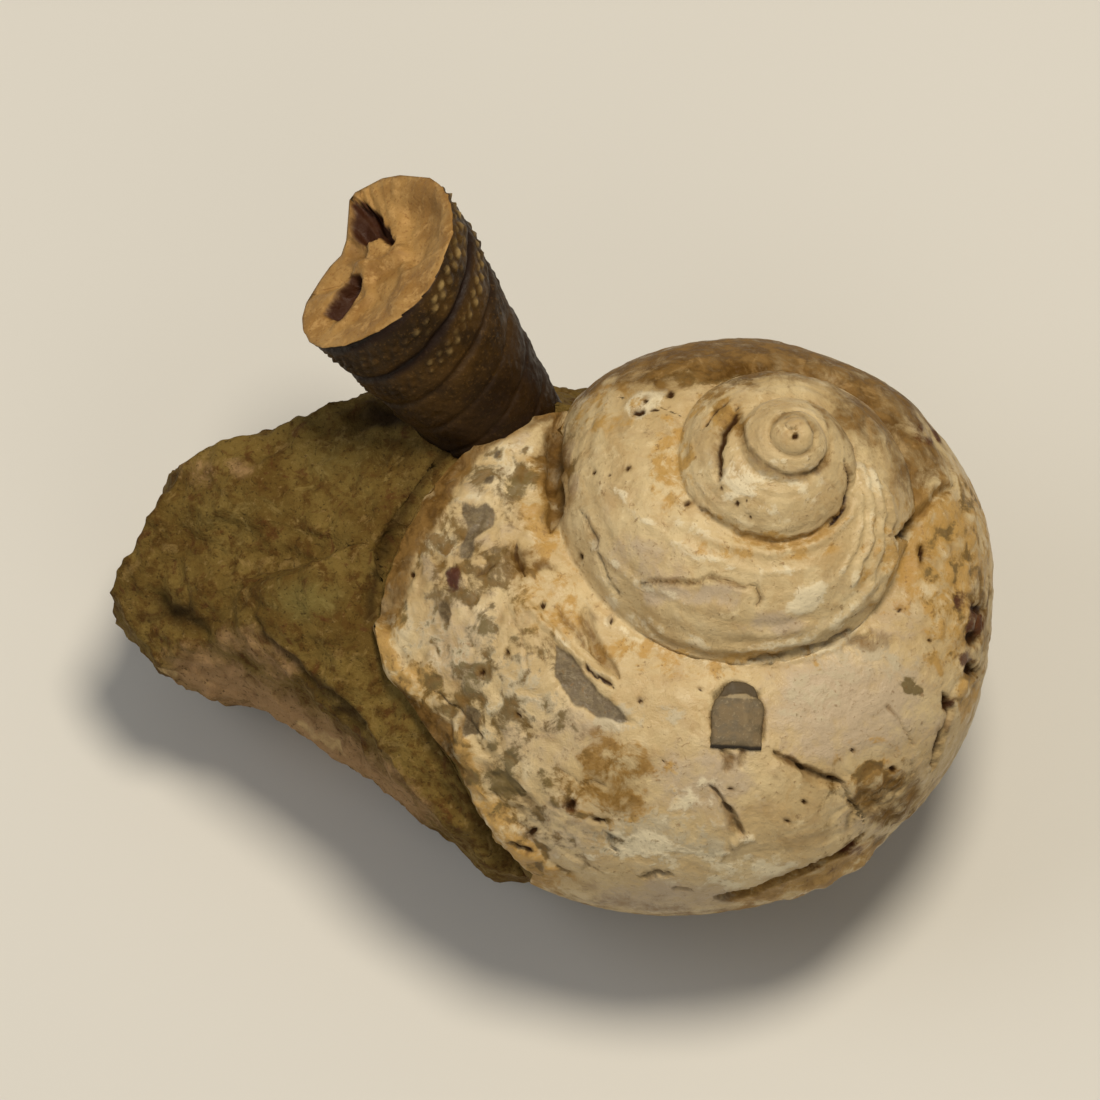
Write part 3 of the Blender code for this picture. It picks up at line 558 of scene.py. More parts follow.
# Marks of the shell, in pixels of the photograph and millimetres of depth
shellMarks = {
    # width, depth, darkness of the painted shade in the groove, brownness, way
    "grooves": [
        (11, 0.5, 0.8, 0.9, [(737, 407), (732, 420), (722, 434), (717, 450), (719, 466),
                             (719, 480)]),
        (5, 0.35, 0.7, 0.5, [(702, 428), (711, 412), (730, 400)]),
        (3, 0.25, 0.5, 0.4, [(640, 429), (652, 437)]),
        (7, 0.22, 0.25, 1.0, [(740, 408), (738, 424), (745, 450), (766, 470), (790, 478),
                              (812, 474), (826, 460), (830, 444)]),
        (4, 0.10, 0.15, 0.8, [(830, 448), (830, 430), (822, 412), (806, 402)]),
        (3.5, 0.12, 0.2, 0.8, [(770, 446), (769, 430), (776, 418), (792, 414), (806, 418),
                               (815, 432), (812, 448), (800, 457), (784, 456), (772, 448)]),
        (5, 0.5, 0.95, 0.6, [(842, 462), (848, 476), (848, 490), (841, 512), (827, 529)]),
        (10, 0.3, 0.0, 0.4, [(700, 510), (740, 536), (778, 546), (822, 533), (846, 508)]),
        (8, 0.35, 0.25, 0.7, [(710, 378), (749, 370), (790, 368), (830, 380), (862, 400)]),
        (5, 0.45, 0.45, 0.9, [(636, 584), (668, 582), (696, 583), (710, 577), (730, 584),
                              (744, 588), (757, 587)]),
        (5, 0.4, 0.5, 0.6, [(755, 586), (760, 599), (756, 608)]),
        (6, 0.4, 0.3, 0.75, [(749, 660), (793, 653), (827, 643), (850, 629)]),
        (4, 0.25, 0.4, 0.6, [(851, 643), (876, 633)]),
        (12, 0.7, 0.35, 0.6, [(587, 606), (590, 630), (600, 655), (618, 676)]),
        (5, 0.7, 0.9, 0.5, [(583, 664), (596, 676), (612, 688)]),
        (11, 0.6, 0.35, 0.8, [(899, 538), (914, 517), (924, 509), (938, 492), (955, 485)]),
        (8, 0.8, 0.8, 0.7, [(908, 520), (907, 541)]),
        (8, 0.6, 0.7, 0.7, [(943, 692), (952, 714), (944, 730), (939, 751), (933, 772)]),
        (8, 0.6, 0.45, 0.9, [(774, 752), (792, 764), (806, 771)]),
        (14, 0.8, 0.5, 0.9, [(798, 766), (816, 777), (842, 783)]),
        (4, 0.4, 0.5, 0.5, [(840, 782), (856, 808), (863, 820)]),
        (5, 0.5, 0.35, 0.8, [(710, 785), (720, 800), (730, 816)]),
        (9, 0.6, 0.45, 0.8, [(724, 806), (736, 824), (742, 834)]),
        (9, 0.3, 0.3, 1.0, [(722, 748), (728, 760), (728, 772)]),
        (8, 0.3, 0.2, 0.9, [(740, 748), (742, 766)]),
        (10, 1.2, 0.6, 1.0, [(863, 836), (843, 852), (816, 864), (785, 877), (749, 890),
                             (716, 900)]),
        (5, 0.4, 0.5, 0.5, [(638, 876), (655, 873), (672, 875)]),
        (4, 0.3, 0.4, 0.5, [(673, 889), (693, 889)]),
        (16, 0.9, 0.35, 0.9, [(560, 417), (551, 446), (553, 480), (556, 505), (552, 531)]),
        (8, 0.5, 0.6, 0.7, [(516, 540), (517, 558), (525, 576)]),
        (4, 0.3, 0.5, 0.6, [(478, 574), (496, 564)]),
        (5, 0.45, 0.8, 0.8, [(512, 836), (534, 849)]),
        (4, 0.35, 0.6, 0.5, [(610, 834), (616, 853)]),
        (5, 0.3, 0.4, 0.5, [(556, 606), (580, 640), (600, 660)]),
        (4, 0.25, 0.45, 0.5, [(580, 510), (596, 540), (604, 575), (622, 600)]),
        (3, 0.2, 0.4, 0.5, [(560, 770), (580, 782), (606, 786)]),
        (3, 0.2, 0.35, 0.4, [(880, 700), (900, 720), (915, 745)]),
        (3, 0.2, 0.4, 0.4, [(450, 560), (470, 590), (492, 612)]),
        (3, 0.2, 0.4, 0.4, [(500, 600), (520, 632), (528, 668)]),
        (3, 0.22, 0.4, 0.5, [(430, 690), (462, 712), (490, 742)]),
    ],
    # width, height, way
    "ridges": [
        (10, 0.28, [(667, 514), (715, 541), (766, 553), (814, 543), (846, 519), (866, 480)]),
        (5, 0.45, [(868, 607), (881, 585), (888, 560), (889, 525), (884, 498), (877, 475)]),
        (5, 0.45, [(858, 600), (871, 575), (878, 550), (879, 515), (874, 486), (864, 462)]),
        (5, 0.40, [(846, 590), (860, 565), (869, 540), (870, 508), (864, 480), (852, 458)]),
        (4, 0.30, [(838, 580), (852, 555), (860, 530), (861, 505), (856, 484)]),
        (9, 0.30, [(640, 610), (670, 634), (710, 647), (755, 648), (795, 641), (833, 624),
                   (860, 602), (884, 566), (895, 530)]),
        (8, 0.35, [(517, 596), (554, 631), (586, 664), (616, 690)]),
        (8, 0.35, [(892, 850), (861, 861), (830, 873), (803, 886), (760, 900)]),
        (7, 0.30, [(727, 843), (756, 835)]),
        (8, 0.35, [(955, 700), (966, 684), (979, 674)]),
        (6, 0.15, [(600, 470), (640, 520), (700, 556), (760, 574), (820, 566)]),
        (6, 0.12, [(588, 540), (630, 578), (690, 606)]),
        (8, 0.15, [(592, 560), (622, 612), (668, 646), (720, 664), (790, 662), (846, 642)]),
    ],
    # height, pixels that the ledge runs back, softness, way with the high ground on its left
    "ledges": [
        (0.35, 60, 5, [(757, 587), (744, 588), (730, 584), (710, 577), (696, 583), (668, 582),
                       (636, 584)]),
        (0.25, 30, 5, [(817, 621), (785, 629), (749, 634)]),
        (0.45, 80, 6, [(899, 538), (914, 517), (924, 509), (938, 492), (955, 485)]),
        (0.40, 50, 5, [(716, 900), (749, 890), (785, 877), (816, 864), (843, 852), (863, 836)]),
        (0.35, 70, 5, [(586, 664), (554, 631), (517, 596)]),
        (0.30, 40, 5, [(840, 782), (816, 777), (792, 765), (774, 752)]),
        (0.30, 45, 4, [(552, 531), (556, 505), (553, 480), (551, 446), (560, 417)]),
    ],
    # place, half width and height, depth
    "pits": [
        (795, 437, 4, 4, 0.35), (639, 412, 6, 4, 0.3), (670, 394, 5, 4, 0.3),
        (594, 473, 3, 3, 0.25),
        (627, 467, 3, 3, 0.25), (610, 475, 2, 2, 0.2), (631, 485, 2, 2, 0.2), (579, 558, 3, 4, 0.3),
        (611, 621, 3, 3, 0.25), (686, 502, 5, 3, 0.25), (921, 553, 4, 10, 0.4),
        (852, 751, 3, 3, 0.25),
        (893, 768, 4, 4, 0.3), (803, 802, 3, 3, 0.25), (787, 820, 3, 2, 0.2),
        (731, 789, 3, 3, 0.25),
        (835, 780, 4, 3, 0.3), (543, 606, 4, 4, 0.3), (481, 673, 4, 4, 0.3), (509, 652, 4, 3, 0.3),
        (411, 574, 4, 4, 0.3), (518, 715, 4, 4, 0.3), (532, 832, 4, 4, 0.3), (571, 806, 6, 6, 0.4),
        (599, 820, 9, 3, 0.35), (980, 610, 8, 6, 0.5), (974, 639, 7, 9, 0.6), (973, 670, 8, 8, 0.8),
        (947, 703, 5, 11, 0.7), (646, 401, 3, 2, 0.2), (655, 411, 4, 2, 0.2), (700, 690, 2, 2, 0.2),
        (663, 760, 3, 2, 0.2), (640, 700, 3, 2, 0.2), (900, 610, 3, 3, 0.2), (930, 640, 3, 3, 0.2),
        (745, 502, 2, 2, 0.2), (720, 489, 3, 3, 0.25), (735, 505, 3, 3, 0.25),
        (748, 519, 2, 3, 0.2),
    ],
    # mask, width, strength, height, way
    "bands": [
        ("brown", 19, 1.0, -0.25, [(505, 396), (474, 436), (440, 490), (404, 547), (386, 600),
                                   (378, 640)]),
        ("olive", 13, 0.9, 0.0, [(490, 396), (464, 436), (430, 490), (396, 547), (380, 600)]),
        ("grey", 2.5, 0.3, -0.1, [(640, 470), (668, 500), (700, 524)]),
        ("ochre", 12, 1.0, 0.5, [(366, 615), (382, 646), (398, 674), (420, 694)]),
        ("ochre", 13, 1.0, 0.55, [(455, 726), (470, 762), (482, 796), (504, 828), (534, 860),
                                  (556, 878)]),
        ("rose", 11, 0.8, -0.2, [(640, 595), (668, 593), (696, 595), (714, 590), (744, 600)]),
        ("ochre", 13, 0.8, 0.0, [(882, 842), (850, 862), (810, 878), (770, 892), (730, 902)]),
        # this pale band along the lower ridge is a painted highlight
        ("pale", 6, 0.9, 0.3, [(895, 851), (860, 866), (820, 882), (780, 897)]),
        ("brown", 12, 1.0, 0.0, [(456, 466), (480, 444), (506, 429), (535, 419), (568, 408)]),
        ("brown", 17, 0.95, 0.0, [(560, 404), (600, 372), (660, 350), (740, 341), (820, 348),
                                  (890, 378), (935, 420)]),
        ("ochre", 8, 0.7, 0.0, [(705, 512), (740, 538), (778, 548), (822, 535), (850, 508)]),
        ("ochre", 7, 0.5, 0.12, [(652, 400), (672, 430), (678, 466), (690, 500)]),
        # this pale band along the ridge lines above the outer suture is a painted highlight
        ("pale", 5, 0.8, 0.1, [(600, 618), (650, 646), (712, 664), (790, 660), (842, 642),
                               (880, 606)]),
    ],
    # blobs between cracks: place, half width and height, strength
    "mosaic": [
        ((460, 540), (64, 110), 0.95), ((480, 690), (90, 90), 0.95), ((540, 460), (40, 60), 0.9),
        ((960, 590), (36, 110), 0.7),
        ((560, 830), (70, 50), 0.7), ((880, 800), (60, 50), 0.8),
    ],
    # mask, height, softness, outline
    "patches": [
        ("brown", -0.15, 6, [
            (392, 676), (425, 704), (452, 724), (464, 762), (476, 797), (496, 829), (524, 860),
            (512, 884), (480, 862),
            (452, 815), (430, 775), (405, 732), (386, 700),
        ]),
        ("grey", -0.35, 5, [(554, 640), (570, 652), (600, 690), (640, 724), (622, 724), (591, 716),
                            (572, 705), (555, 677)]),
        ("grey", -0.12, 6, [(458, 498), (474, 506), (487, 500), (497, 512), (492, 528), (478, 540),
                            (471, 560), (459, 563), (457, 545), (468, 530), (462, 516)]),
        ("grey", -0.1, 6, [(443, 566), (455, 564), (462, 578), (458, 592), (446, 594)]),
        ("grey", -0.1, 6, [(436, 600), (450, 600), (455, 614), (446, 628), (436, 618)]),
        ("grey", 0.0, 2, [(492, 452), (500, 452), (500, 460), (492, 460)]),
        ("grey", 0.0, 2, [(481, 477), (494, 476), (494, 485), (483, 487)]),
        ("olive", 0.0, 4, [(505, 480), (522, 468), (539, 474), (538, 492), (522, 500), (507, 496)]),
        ("grey", -0.1, 3, [(463, 702), (481, 712), (480, 735), (466, 738)]),
        ("olive", -0.1, 3, [(485, 740), (499, 742), (497, 758), (487, 759)]),
        ("olive", -0.1, 3, [(503, 752), (518, 752), (516, 763), (505, 763)]),
        ("olive", -0.2, 3, [(487, 774), (505, 771), (526, 790), (518, 800), (498, 795)]),
        ("pale", 0.1, 5, [(623, 404), (640, 388), (669, 390), (664, 408), (640, 420), (626, 416)]),
        ("pale", 0.1, 5, [(525, 450), (534, 437), (539, 448), (530, 464)]),
        ("bluish", -0.05, 6, [(591, 716), (624, 714), (640, 730), (600, 734)]),
        ("pale", 0.12, 8, [(786, 602), (803, 584), (829, 582), (826, 600), (802, 616), (787, 612)]),
        ("olive", 0.0, 6, [(900, 680), (914, 678), (928, 688), (922, 698), (902, 694)]),
        ("brown", -1.1, 4, [(714, 694), (725, 684), (738, 680), (750, 683), (760, 693), (766, 712),
                            (765, 742), (711, 742), (710, 712)]),
        ("brown", -0.15, 3, [(532, 562), (548, 560), (560, 566), (556, 572), (536, 572)]),
    ],
    # mask, place, half width and height, strength
    "colourSpots": [
        ("brown", (755, 356), (150, 32), 1.0), ("brown", (650, 368), (70, 26), 0.85),
        ("brown", (880, 400), (60, 60), 0.95),
        ("brown", (915, 450), (36, 56), 0.8), ("olive", (700, 374), (90, 12), 0.8),
        ("brown", (470, 430), (22, 40), 0.7), ("brown", (980, 620), (16, 50), 0.5),
        ("ochre", (720, 410), (26, 26), 0.8), ("ochre", (600, 400), (40, 30), 0.4),
        ("brown", (720, 400), (22, 18), 0.5),
        ("brown", (890, 800), (44, 34), 0.7), ("brown", (520, 560), (20, 30), 0.5),
        ("brown", (610, 775), (50, 34), 0.62),
        ("brown", (860, 640), (40, 12), 0.45), ("brown", (820, 360), (70, 22), 0.8),
        ("ochre", (945, 540), (56, 60), 0.85), ("ochre", (670, 470), (22, 40), 0.6),
        ("ochre", (540, 500), (22, 50), 0.75),
        ("ochre", (385, 625), (22, 22), 0.9), ("ochre", (420, 690), (24, 34), 0.9),
        ("ochre", (460, 760), (26, 30), 0.85),
        ("ochre", (500, 830), (22, 34), 0.95), ("ochre", (540, 880), (34, 18), 0.8),
        ("ochre", (612, 780), (60, 44), 0.6),
        ("ochre", (760, 545), (70, 14), 0.55), ("ochre", (640, 650), (60, 14), 0.5),
        ("ochre", (900, 560), (40, 60), 0.55),
        ("ochre", (968, 690), (16, 30), 0.85), ("ochre", (545, 600), (40, 40), 0.5),
        ("ochre", (720, 660), (110, 16), 0.45),
        ("rose", (845, 704), (100, 64), 1.0), ("rose", (700, 780), (70, 44), 0.75),
        ("rose", (455, 640), (44, 60), 0.6),
        ("rose", (560, 830), (60, 40), 0.5), ("bluish", (520, 690), (40, 40), 0.6),
        ("bluish", (850, 660), (60, 26), 0.5), ("bluish", (650, 830), (60, 26), 0.8),
        ("olive", (470, 600), (70, 110), 0.3), ("olive", (520, 760), (70, 60), 0.28),
        ("brown", (460, 520), (60, 90), 0.25),
        ("ochre", (950, 600), (30, 90), 0.8), ("pale", (640, 846), (50, 16), 0.7),
        ("brown", (885, 810), (28, 14), 0.6), ("brown", (470, 722), (12, 14), 0.9),
        ("maroon", (452, 578), (9, 14), 0.8), ("brown", (445, 612), (8, 14), 0.8),
        ("brown", (521, 560), (8, 20), 0.9),
        ("brown", (425, 470), (24, 40), 0.6), ("olive", (500, 780), (22, 14), 0.9),
        ("pale", (446, 547), (14, 8), 0.9),
        ("brown", (500, 420), (50, 16), 0.55), ("olive", (430, 700), (20, 30), 0.5),
        ("pale", (470, 498), (18, 6), 0.9),
        ("ochre", (545, 540), (20, 18), 0.8), ("ochre", (560, 600), (26, 20), 0.6),
        ("brown", (600, 740), (30, 14), 0.3),
        ("maroon", (975, 622), (10, 18), 0.9), ("maroon", (966, 660), (10, 12), 0.9),
        ("maroon", (960, 600), (8, 12), 0.6),
        ("maroon", (948, 706), (7, 12), 0.8), ("maroon", (930, 436), (22, 14), 0.6),
        ("maroon", (572, 806), (12, 8), 0.5),
        ("brown", (440, 560), (10, 14), 0.6), ("brown", (620, 800), (34, 16), 0.6),
        ("brown", (553, 468), (20, 60), 1.0),
        ("maroon", (852, 850), (18, 8), 0.6), ("maroon", (812, 868), (24, 6), 0.5),
        ("ochre", (870, 770), (34, 30), 0.5), ("rose", (670, 898), (90, 20), 0.8),
        ("rose", (770, 622), (30, 10), 0.7),
        ("rose", (560, 740), (60, 40), 0.5), ("rose", (640, 560), (50, 30), 0.4),
        ("rose", (900, 620), (40, 30), 0.45),
        ("olive", (480, 460), (20, 36), 0.5), ("pale", (490, 460), (34, 40), 0.5),
        ("pale", (440, 546), (20, 16), 0.7),
        ("pale", (430, 640), (30, 50), 0.4), ("pale", (760, 480), (60, 40), 0.35),
        ("pale", (680, 800), (60, 30), 0.3),
        ("bluish", (668, 842), (50, 24), 0.75), ("bluish", (640, 715), (40, 16), 0.45),
        ("pale", (730, 870), (70, 20), 0.4),
        ("bluish", (480, 640), (40, 60), 0.35), ("bluish", (800, 700), (40, 30), 0.4),
    ],
    # places that are rougher than the rest, with how much
    "rough": [
        ((945, 570), (60, 80), 1.0), ((480, 640), (70, 110), 0.6), ((500, 800), (50, 60), 0.9),
        ((890, 800), (44, 30), 1.0),
        ((520, 500), (60, 70), 0.7), ((610, 770), (60, 40), 0.4), ((975, 650), (24, 60), 1.0),
        ((400, 590), (40, 60), 0.7),
    ],
}


def sculptShell(piece):
    mesh = piece.data
    points = readPoints(mesh)
    turn, bend = turnAndBend(*[readLayer(mesh, name) for name in ("aroundX", "aroundY", "reach")])
    points += readNormals(mesh) * (shellForm["lumps"] * noiseAt(points, 9.0))[:, None]
    writePoints(mesh, points)
    normals = readNormals(mesh)
    facing = smooth(-0.15, 0.1, normals @ toCamera)
    wander = np.stack((noiseAt(points, 1.5, 3.1), noiseAt(points, 1.5, 9.7)), 1) * 3.0
    wander += np.stack((noiseAt(points, 0.5, 5.3), noiseAt(points, 0.5, 1.9)), 1) * 1.6
    spots = photoSpots(points) + wander
    names = ("ochre", "brown", "grey", "dark", "pale", "rose", "olive", "bluish", "maroon")
    masks = {name: np.zeros(len(points)) for name in names}
    height = np.zeros(len(points))
    for width, depth, darkness, brownness, way in shellMarks["grooves"]:
        distance, share, side = wayReach(spots, way)
        narrow = np.sqrt(np.clip(np.minimum(share, 1.0 - share) * 7.0, 0.12, 1.0))
        shape = 1.0 - smooth(0.15, 0.62, distance / (width * narrow))
        height -= depth * shape
        # the dark line down each groove is painted shade
        masks["dark"] = np.maximum(masks["dark"],
                                   darkness * (1.0 - smooth(0.05, 0.5,
                                                            distance / (width * narrow))))
        masks["brown"] = np.maximum(masks["brown"],
                                    0.62 * brownness * (1.0 - smooth(0.3, 1.0,
                                            distance / (width * narrow))))
    for width, rise, way in shellMarks["ridges"]:
        distance, share, side = wayReach(spots, way)
        fade = smooth(0.0, 0.12, share) * (1.0 - smooth(0.88, 1.0, share))
        shape = (1.0 - smooth(0.0, 0.9, distance / width)) * fade
        height += rise * shape
        # ridge crests are painted pale as a painted highlight
        masks["pale"] = np.maximum(masks["pale"], 0.55 * shape)
    for rise, run, softness, way in shellMarks["ledges"]:
        distance, share, side = wayReach(spots, way, run * 2.0)
        fade = smooth(0.0, 0.15, share) * (1.0 - smooth(0.85, 1.0, share))
        height += rise * fade * smooth(-softness, softness * 0.5,
                                       -side * distance) * np.exp(-distance / run)
    for name, width, strength, rise, way in shellMarks["bands"]:
        distance, share, side = wayReach(spots, way)
        fade = smooth(0.0, 0.08, share) * (1.0 - smooth(0.92, 1.0, share))
        shape = (1.0 - smooth(0.35, 1.15, distance / width)) * fade
        height += rise * shape * (1.0 + 0.6 * noiseAt(points, 1.7, 8.1))
        masks[name] = np.maximum(masks[name], strength * shape)
    blobs = np.zeros(len(points))
    for (x, y), (halfWidth, halfHeight), amount in shellMarks["mosaic"]:
        reach = np.hypot((spots[:, 0] - x) / halfWidth, (spots[:, 1] - y) / halfHeight)
        blobs = np.maximum(blobs, amount * (1.0 - smooth(0.6, 1.2, reach)))
    cracks, tint = cellsAt(points, blobs * facing > 0.01, 2.3)
    shown = 0.4 + 0.6 * smooth(-0.35, 0.2, noiseAt(points, 3.5, 6.6))
    height += blobs * (0.26 * smooth(0.0, 0.5, cracks) - 0.18) * shown
    masks["olive"] = np.maximum(masks["olive"],
                                blobs * 0.8 * (1.0 - smooth(0.0, 0.22, cracks)) * shown)
    masks["brown"] = np.maximum(masks["brown"],
                                blobs * 0.6 * (1.0 - smooth(0.0, 0.14, cracks)) * shown)
    masks["pale"] = np.maximum(masks["pale"],
                               blobs * 0.5 * smooth(0.12, 0.4, cracks) * smooth(0.55, 0.75, tint))
    masks["rose"] = np.maximum(masks["rose"],
                               blobs * 0.6 * smooth(0.12, 0.4, cracks) * smooth(0.5, 0.3, tint))
    for x, y, halfWidth, halfHeight, depth in shellMarks["pits"]:
        reach = np.hypot((spots[:, 0] - x) / halfWidth, (spots[:, 1] - y) / halfHeight)
        height -= depth * (1.0 - smooth(0.4, 1.15, reach))
        # the dark middle of each pit is painted shade
        masks["dark"] = np.maximum(masks["dark"], 0.8 * (1.0 - smooth(0.5, 1.1, reach)))
        masks["brown"] = np.maximum(masks["brown"], 0.6 * (1.0 - smooth(0.8, 1.8, reach)))
    for name, rise, softness, outline in shellMarks["patches"]:
        inside = 1.0 - smooth(-softness, softness * 0.4, insideReach(spots, outline))
        height += rise * inside
        masks[name] = np.maximum(masks[name], inside)
    for name, (x, y), (halfWidth, halfHeight), strength in shellMarks["colourSpots"]:
        reach = np.hypot((spots[:, 0] - x) / halfWidth, (spots[:, 1] - y) / halfHeight)
        masks[name] = np.maximum(masks[name], strength * (1.0 - smooth(0.35, 1.35, reach)))
    rough = np.full(len(points), 0.35)
    for (x, y), (halfWidth, halfHeight), amount in shellMarks["rough"]:
        reach = np.hypot((spots[:, 0] - x) / halfWidth, (spots[:, 1] - y) / halfHeight)
        rough = np.maximum(rough, amount * (1.0 - smooth(0.5, 1.2, reach)))
    seen = height * facing
    hidden = 1.0 - facing
    grain = noiseAt(points, 2.4, 7.7) * 0.22 + noiseAt(points, 1.0, 2.2) * 0.15 + noiseAt(points,
            0.5, 4.4) * 0.08
    crinkle = 0.5 - np.abs(noiseAt(points, 1.6,
                                   1.3)) * 2.0 + 0.4 * (0.5 - np.abs(noiseAt(points, 0.7,
                                           3.8)) * 2.0)
    coils = noiseAt(np.stack((bend * 12.0, turn * 2.5, turn * 0.0), 1), 1.0, 5.5)
    relief = (grain + 0.12 * crinkle) * rough + 0.09 * coils
    points += normals * (seen + relief)[:, None]
    for name in names:
        masks[name] = masks[name] * facing
        if name != "dark":
            masks[name] = soften(mesh, masks[name])
    masks["brown"] = np.maximum(masks["brown"], hidden * 0.36)
    masks["ochre"] = np.maximum(masks["ochre"], hidden * 0.45)
    low = 1.0 - smooth(14.0, 24.0, points[:, 2])
    masks["brown"] = np.maximum(masks["brown"], low * 0.5)
    writePoints(mesh, points)
    writeMasks(mesh, "stainAndShadeOne", [masks[name] for name in names[:4]])
    writeMasks(mesh, "stainAndHighlightTwo", [masks[name] for name in names[4:8]])
    # crest and hollow of the fine relief, for a painted highlight and painted shade
    writeMasks(mesh, "relief",
               [smooth(0.02, 0.2, relief), smooth(-0.0, -0.2, relief), masks["maroon"], low * 0.0])
    # the rock in the mouth is darker towards the bottom
    writeMasks(mesh, "rockStainAndShade", [low * 0.0, low * 0.0, low * 0.3, low * 0.0])


sculptShell(shell)
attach(shell, "root")
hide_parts("snail_shell")
print("shell sculpted")


# the rock

rockForm = {
    "edgeInView": 0.5, "edgeOutOfView": 1.1, "passes": 6, "seat": (0.45, 0.95), "seatDepth": 0.05,
    "grains": [(4.5, 0.42), (1.9, 0.34), (0.9, 0.2)],
    "grooves": [
        (16, 0.8, [(370, 615), (372, 590), (384, 550), (400, 515), (420, 480), (445, 450)]),
        (8, 0.6, [(326, 691), (345, 708), (361, 726)]),
        (18, 0.9, [(152, 600), (170, 618), (196, 630)]),
        (8, 0.4, [(252, 618), (264, 638), (305, 673), (329, 691)]),
    ],
    # place, half width, rise towards the camera
    "mounds": [((380, 566), 16, 0.8)],
    # the dark spots are painted shadow under the turret and painted shade in the valley beside the
    # shell and in the grooves
    "colourSpots": [
        ("green", (306, 600), (44, 28), 0.75), ("green", (230, 520), (70, 40), 0.25),
        ("green", (340, 470), (60, 40), 0.3),
        ("green", (400, 700), (30, 60), 0.25), ("wall", (241, 468), (16, 12), 0.5),
        ("wall", (200, 470), (30, 24), 0.3),
        ("dark", (172, 612), (30, 16), 0.7), ("dark", (390, 416), (60, 18), 0.9),
        ("dark", (372, 590), (14, 40), 0.5),
        ("dark", (410, 480), (24, 60), 0.4), ("dark", (343, 708), (14, 12), 0.6),
        ("dark", (450, 436), (40, 14), 0.8),
        ("dark", (150, 618), (30, 12), 0.5),
    ],
    # mask, width, strength, way
    "bands": [
        ("wall", 30, 0.85, [(140, 662), (200, 672), (260, 700), (320, 742), (380, 792),
                            (440, 850)]),
        ("wall", 16, 0.5, [(210, 640), (250, 640), (300, 680)]),
        ("pale", 4.5, 0.6, [(290, 716), (320, 735), (354, 757)]),
        ("pale", 5, 0.5, [(146, 668), (164, 670), (180, 676)]),
    ],
}


def rockEdgeLimit(edge):
    middle = (edge.verts[0].co + edge.verts[1].co) / 2 / mm
    if middle.z < 1.0:
        return 3.0
    seen = edge.verts[0].normal.dot(Vector(toCamera)) > -0.1 and middle.x < 6.0
    return rockForm["edgeInView"] if seen else rockForm["edgeOutOfView"]


def buildRock():
    bm = bmesh.new()
    bm.from_mesh(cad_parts["rock_matrix"].data)
    for name in list(bm.loops.layers.uv.keys()):
        bm.loops.layers.uv.remove(bm.loops.layers.uv[name])
    bmesh.ops.remove_doubles(bm, verts=bm.verts, dist=0.01 * mm)
    refine(bm, lambda mesh: None, rockEdgeLimit, rockForm["passes"])
    bmesh.ops.triangulate(bm, faces=bm.faces)
    return makePiece("rockLump", bm, [rockFinish])


def sculptRock(piece, plainTree, finishedTree):
    mesh = piece.data
    points, normals = readPoints(mesh), readNormals(mesh)
    nearest = [plainTree.find_nearest(Vector(point) * mm, 3.0 * mm) for point in points]
    reach = np.array([3.0 if hit[3] is None else hit[3] / mm for hit in nearest])
    free = smooth(0.45, 2.2, reach)
    standing = smooth(0.0, 1.2, points[:, 2])
    spots = photoSpots(points) + np.stack((noiseAt(points, 1.5, 3.1), noiseAt(points, 1.5, 9.7)),
                                          1) * 4.0
    facing = smooth(-0.2, 0.1, normals @ toCamera)
    height = np.zeros(len(points))
    for number, (size, rise) in enumerate(rockForm["grains"]):
        height += rise * noiseAt(points, size, 3.3 * number + 0.7)
    ridged = 1.0 - np.abs(noiseAt(points, 2.6, 8.8)) * 2.0
    height += 0.25 * ridged * np.abs(ridged)
    masks = {name: np.zeros(len(points)) for name in ("green", "wall", "dark", "pale")}
    for width, depth, way in rockForm["grooves"]:
        distance = wayReach(spots, way)[0]
        shape = (1.0 - smooth(0.0, 1.0, distance / width)) * facing
        height -= depth * shape
        # each groove is darkened with painted shade
        masks["dark"] = np.maximum(masks["dark"], 0.6 * shape)
    for name, (x, y), (halfWidth, halfHeight), strength in rockForm["colourSpots"]:
        off = np.hypot((spots[:, 0] - x) / halfWidth, (spots[:, 1] - y) / halfHeight)
        masks[name] = np.maximum(masks[name], strength * (1.0 - smooth(0.1, 1.35, off)) * facing)
    for name, width, strength, way in rockForm["bands"]:
        distance, share, side = wayReach(spots, way)
        fade = smooth(0.0, 0.15, share) * (1.0 - smooth(0.85, 1.0, share))
        masks[name] = np.maximum(masks[name],
                                 strength * fade * (1.0 - smooth(0.2, 1.3,
                                         distance / width)) * facing)
    points += normals * (height * free * standing)[:, None]
    for (x, y), halfWidth, rise in rockForm["mounds"]:
        reachOut = np.hypot(spots[:, 0] - x, spots[:, 1] - y) / halfWidth
        points += toCamera * (rise * facing * (1.0 - smooth(0.2, 1.0, reachOut)))[:, None]
    # the rock closes on the shells as they are finished
    share = 1.0 - smooth(*rockForm["seat"], reach)
    for index in np.where(share > 0.0)[0]:
        place, normal = finishedTree.find_nearest(Vector(points[index]) * mm)[:2]
        seat = np.array(place) / mm - np.array(normal) * rockForm["seatDepth"]
        points[index] += (seat - points[index]) * share[index]
    points[:, 2] = np.maximum(points[:, 2], 0.0)
    writePoints(mesh, points)
    writeMasks(mesh, "rockStainAndShade", [masks[name] for name in ("green", "wall", "dark", "pale")])


def treeOf(meshes):
    bm = bmesh.new()
    for mesh in meshes:
        bm.from_mesh(mesh)
    tree = BVHTree.FromBMesh(bm)
    bm.free()
    return tree


# the turret shell

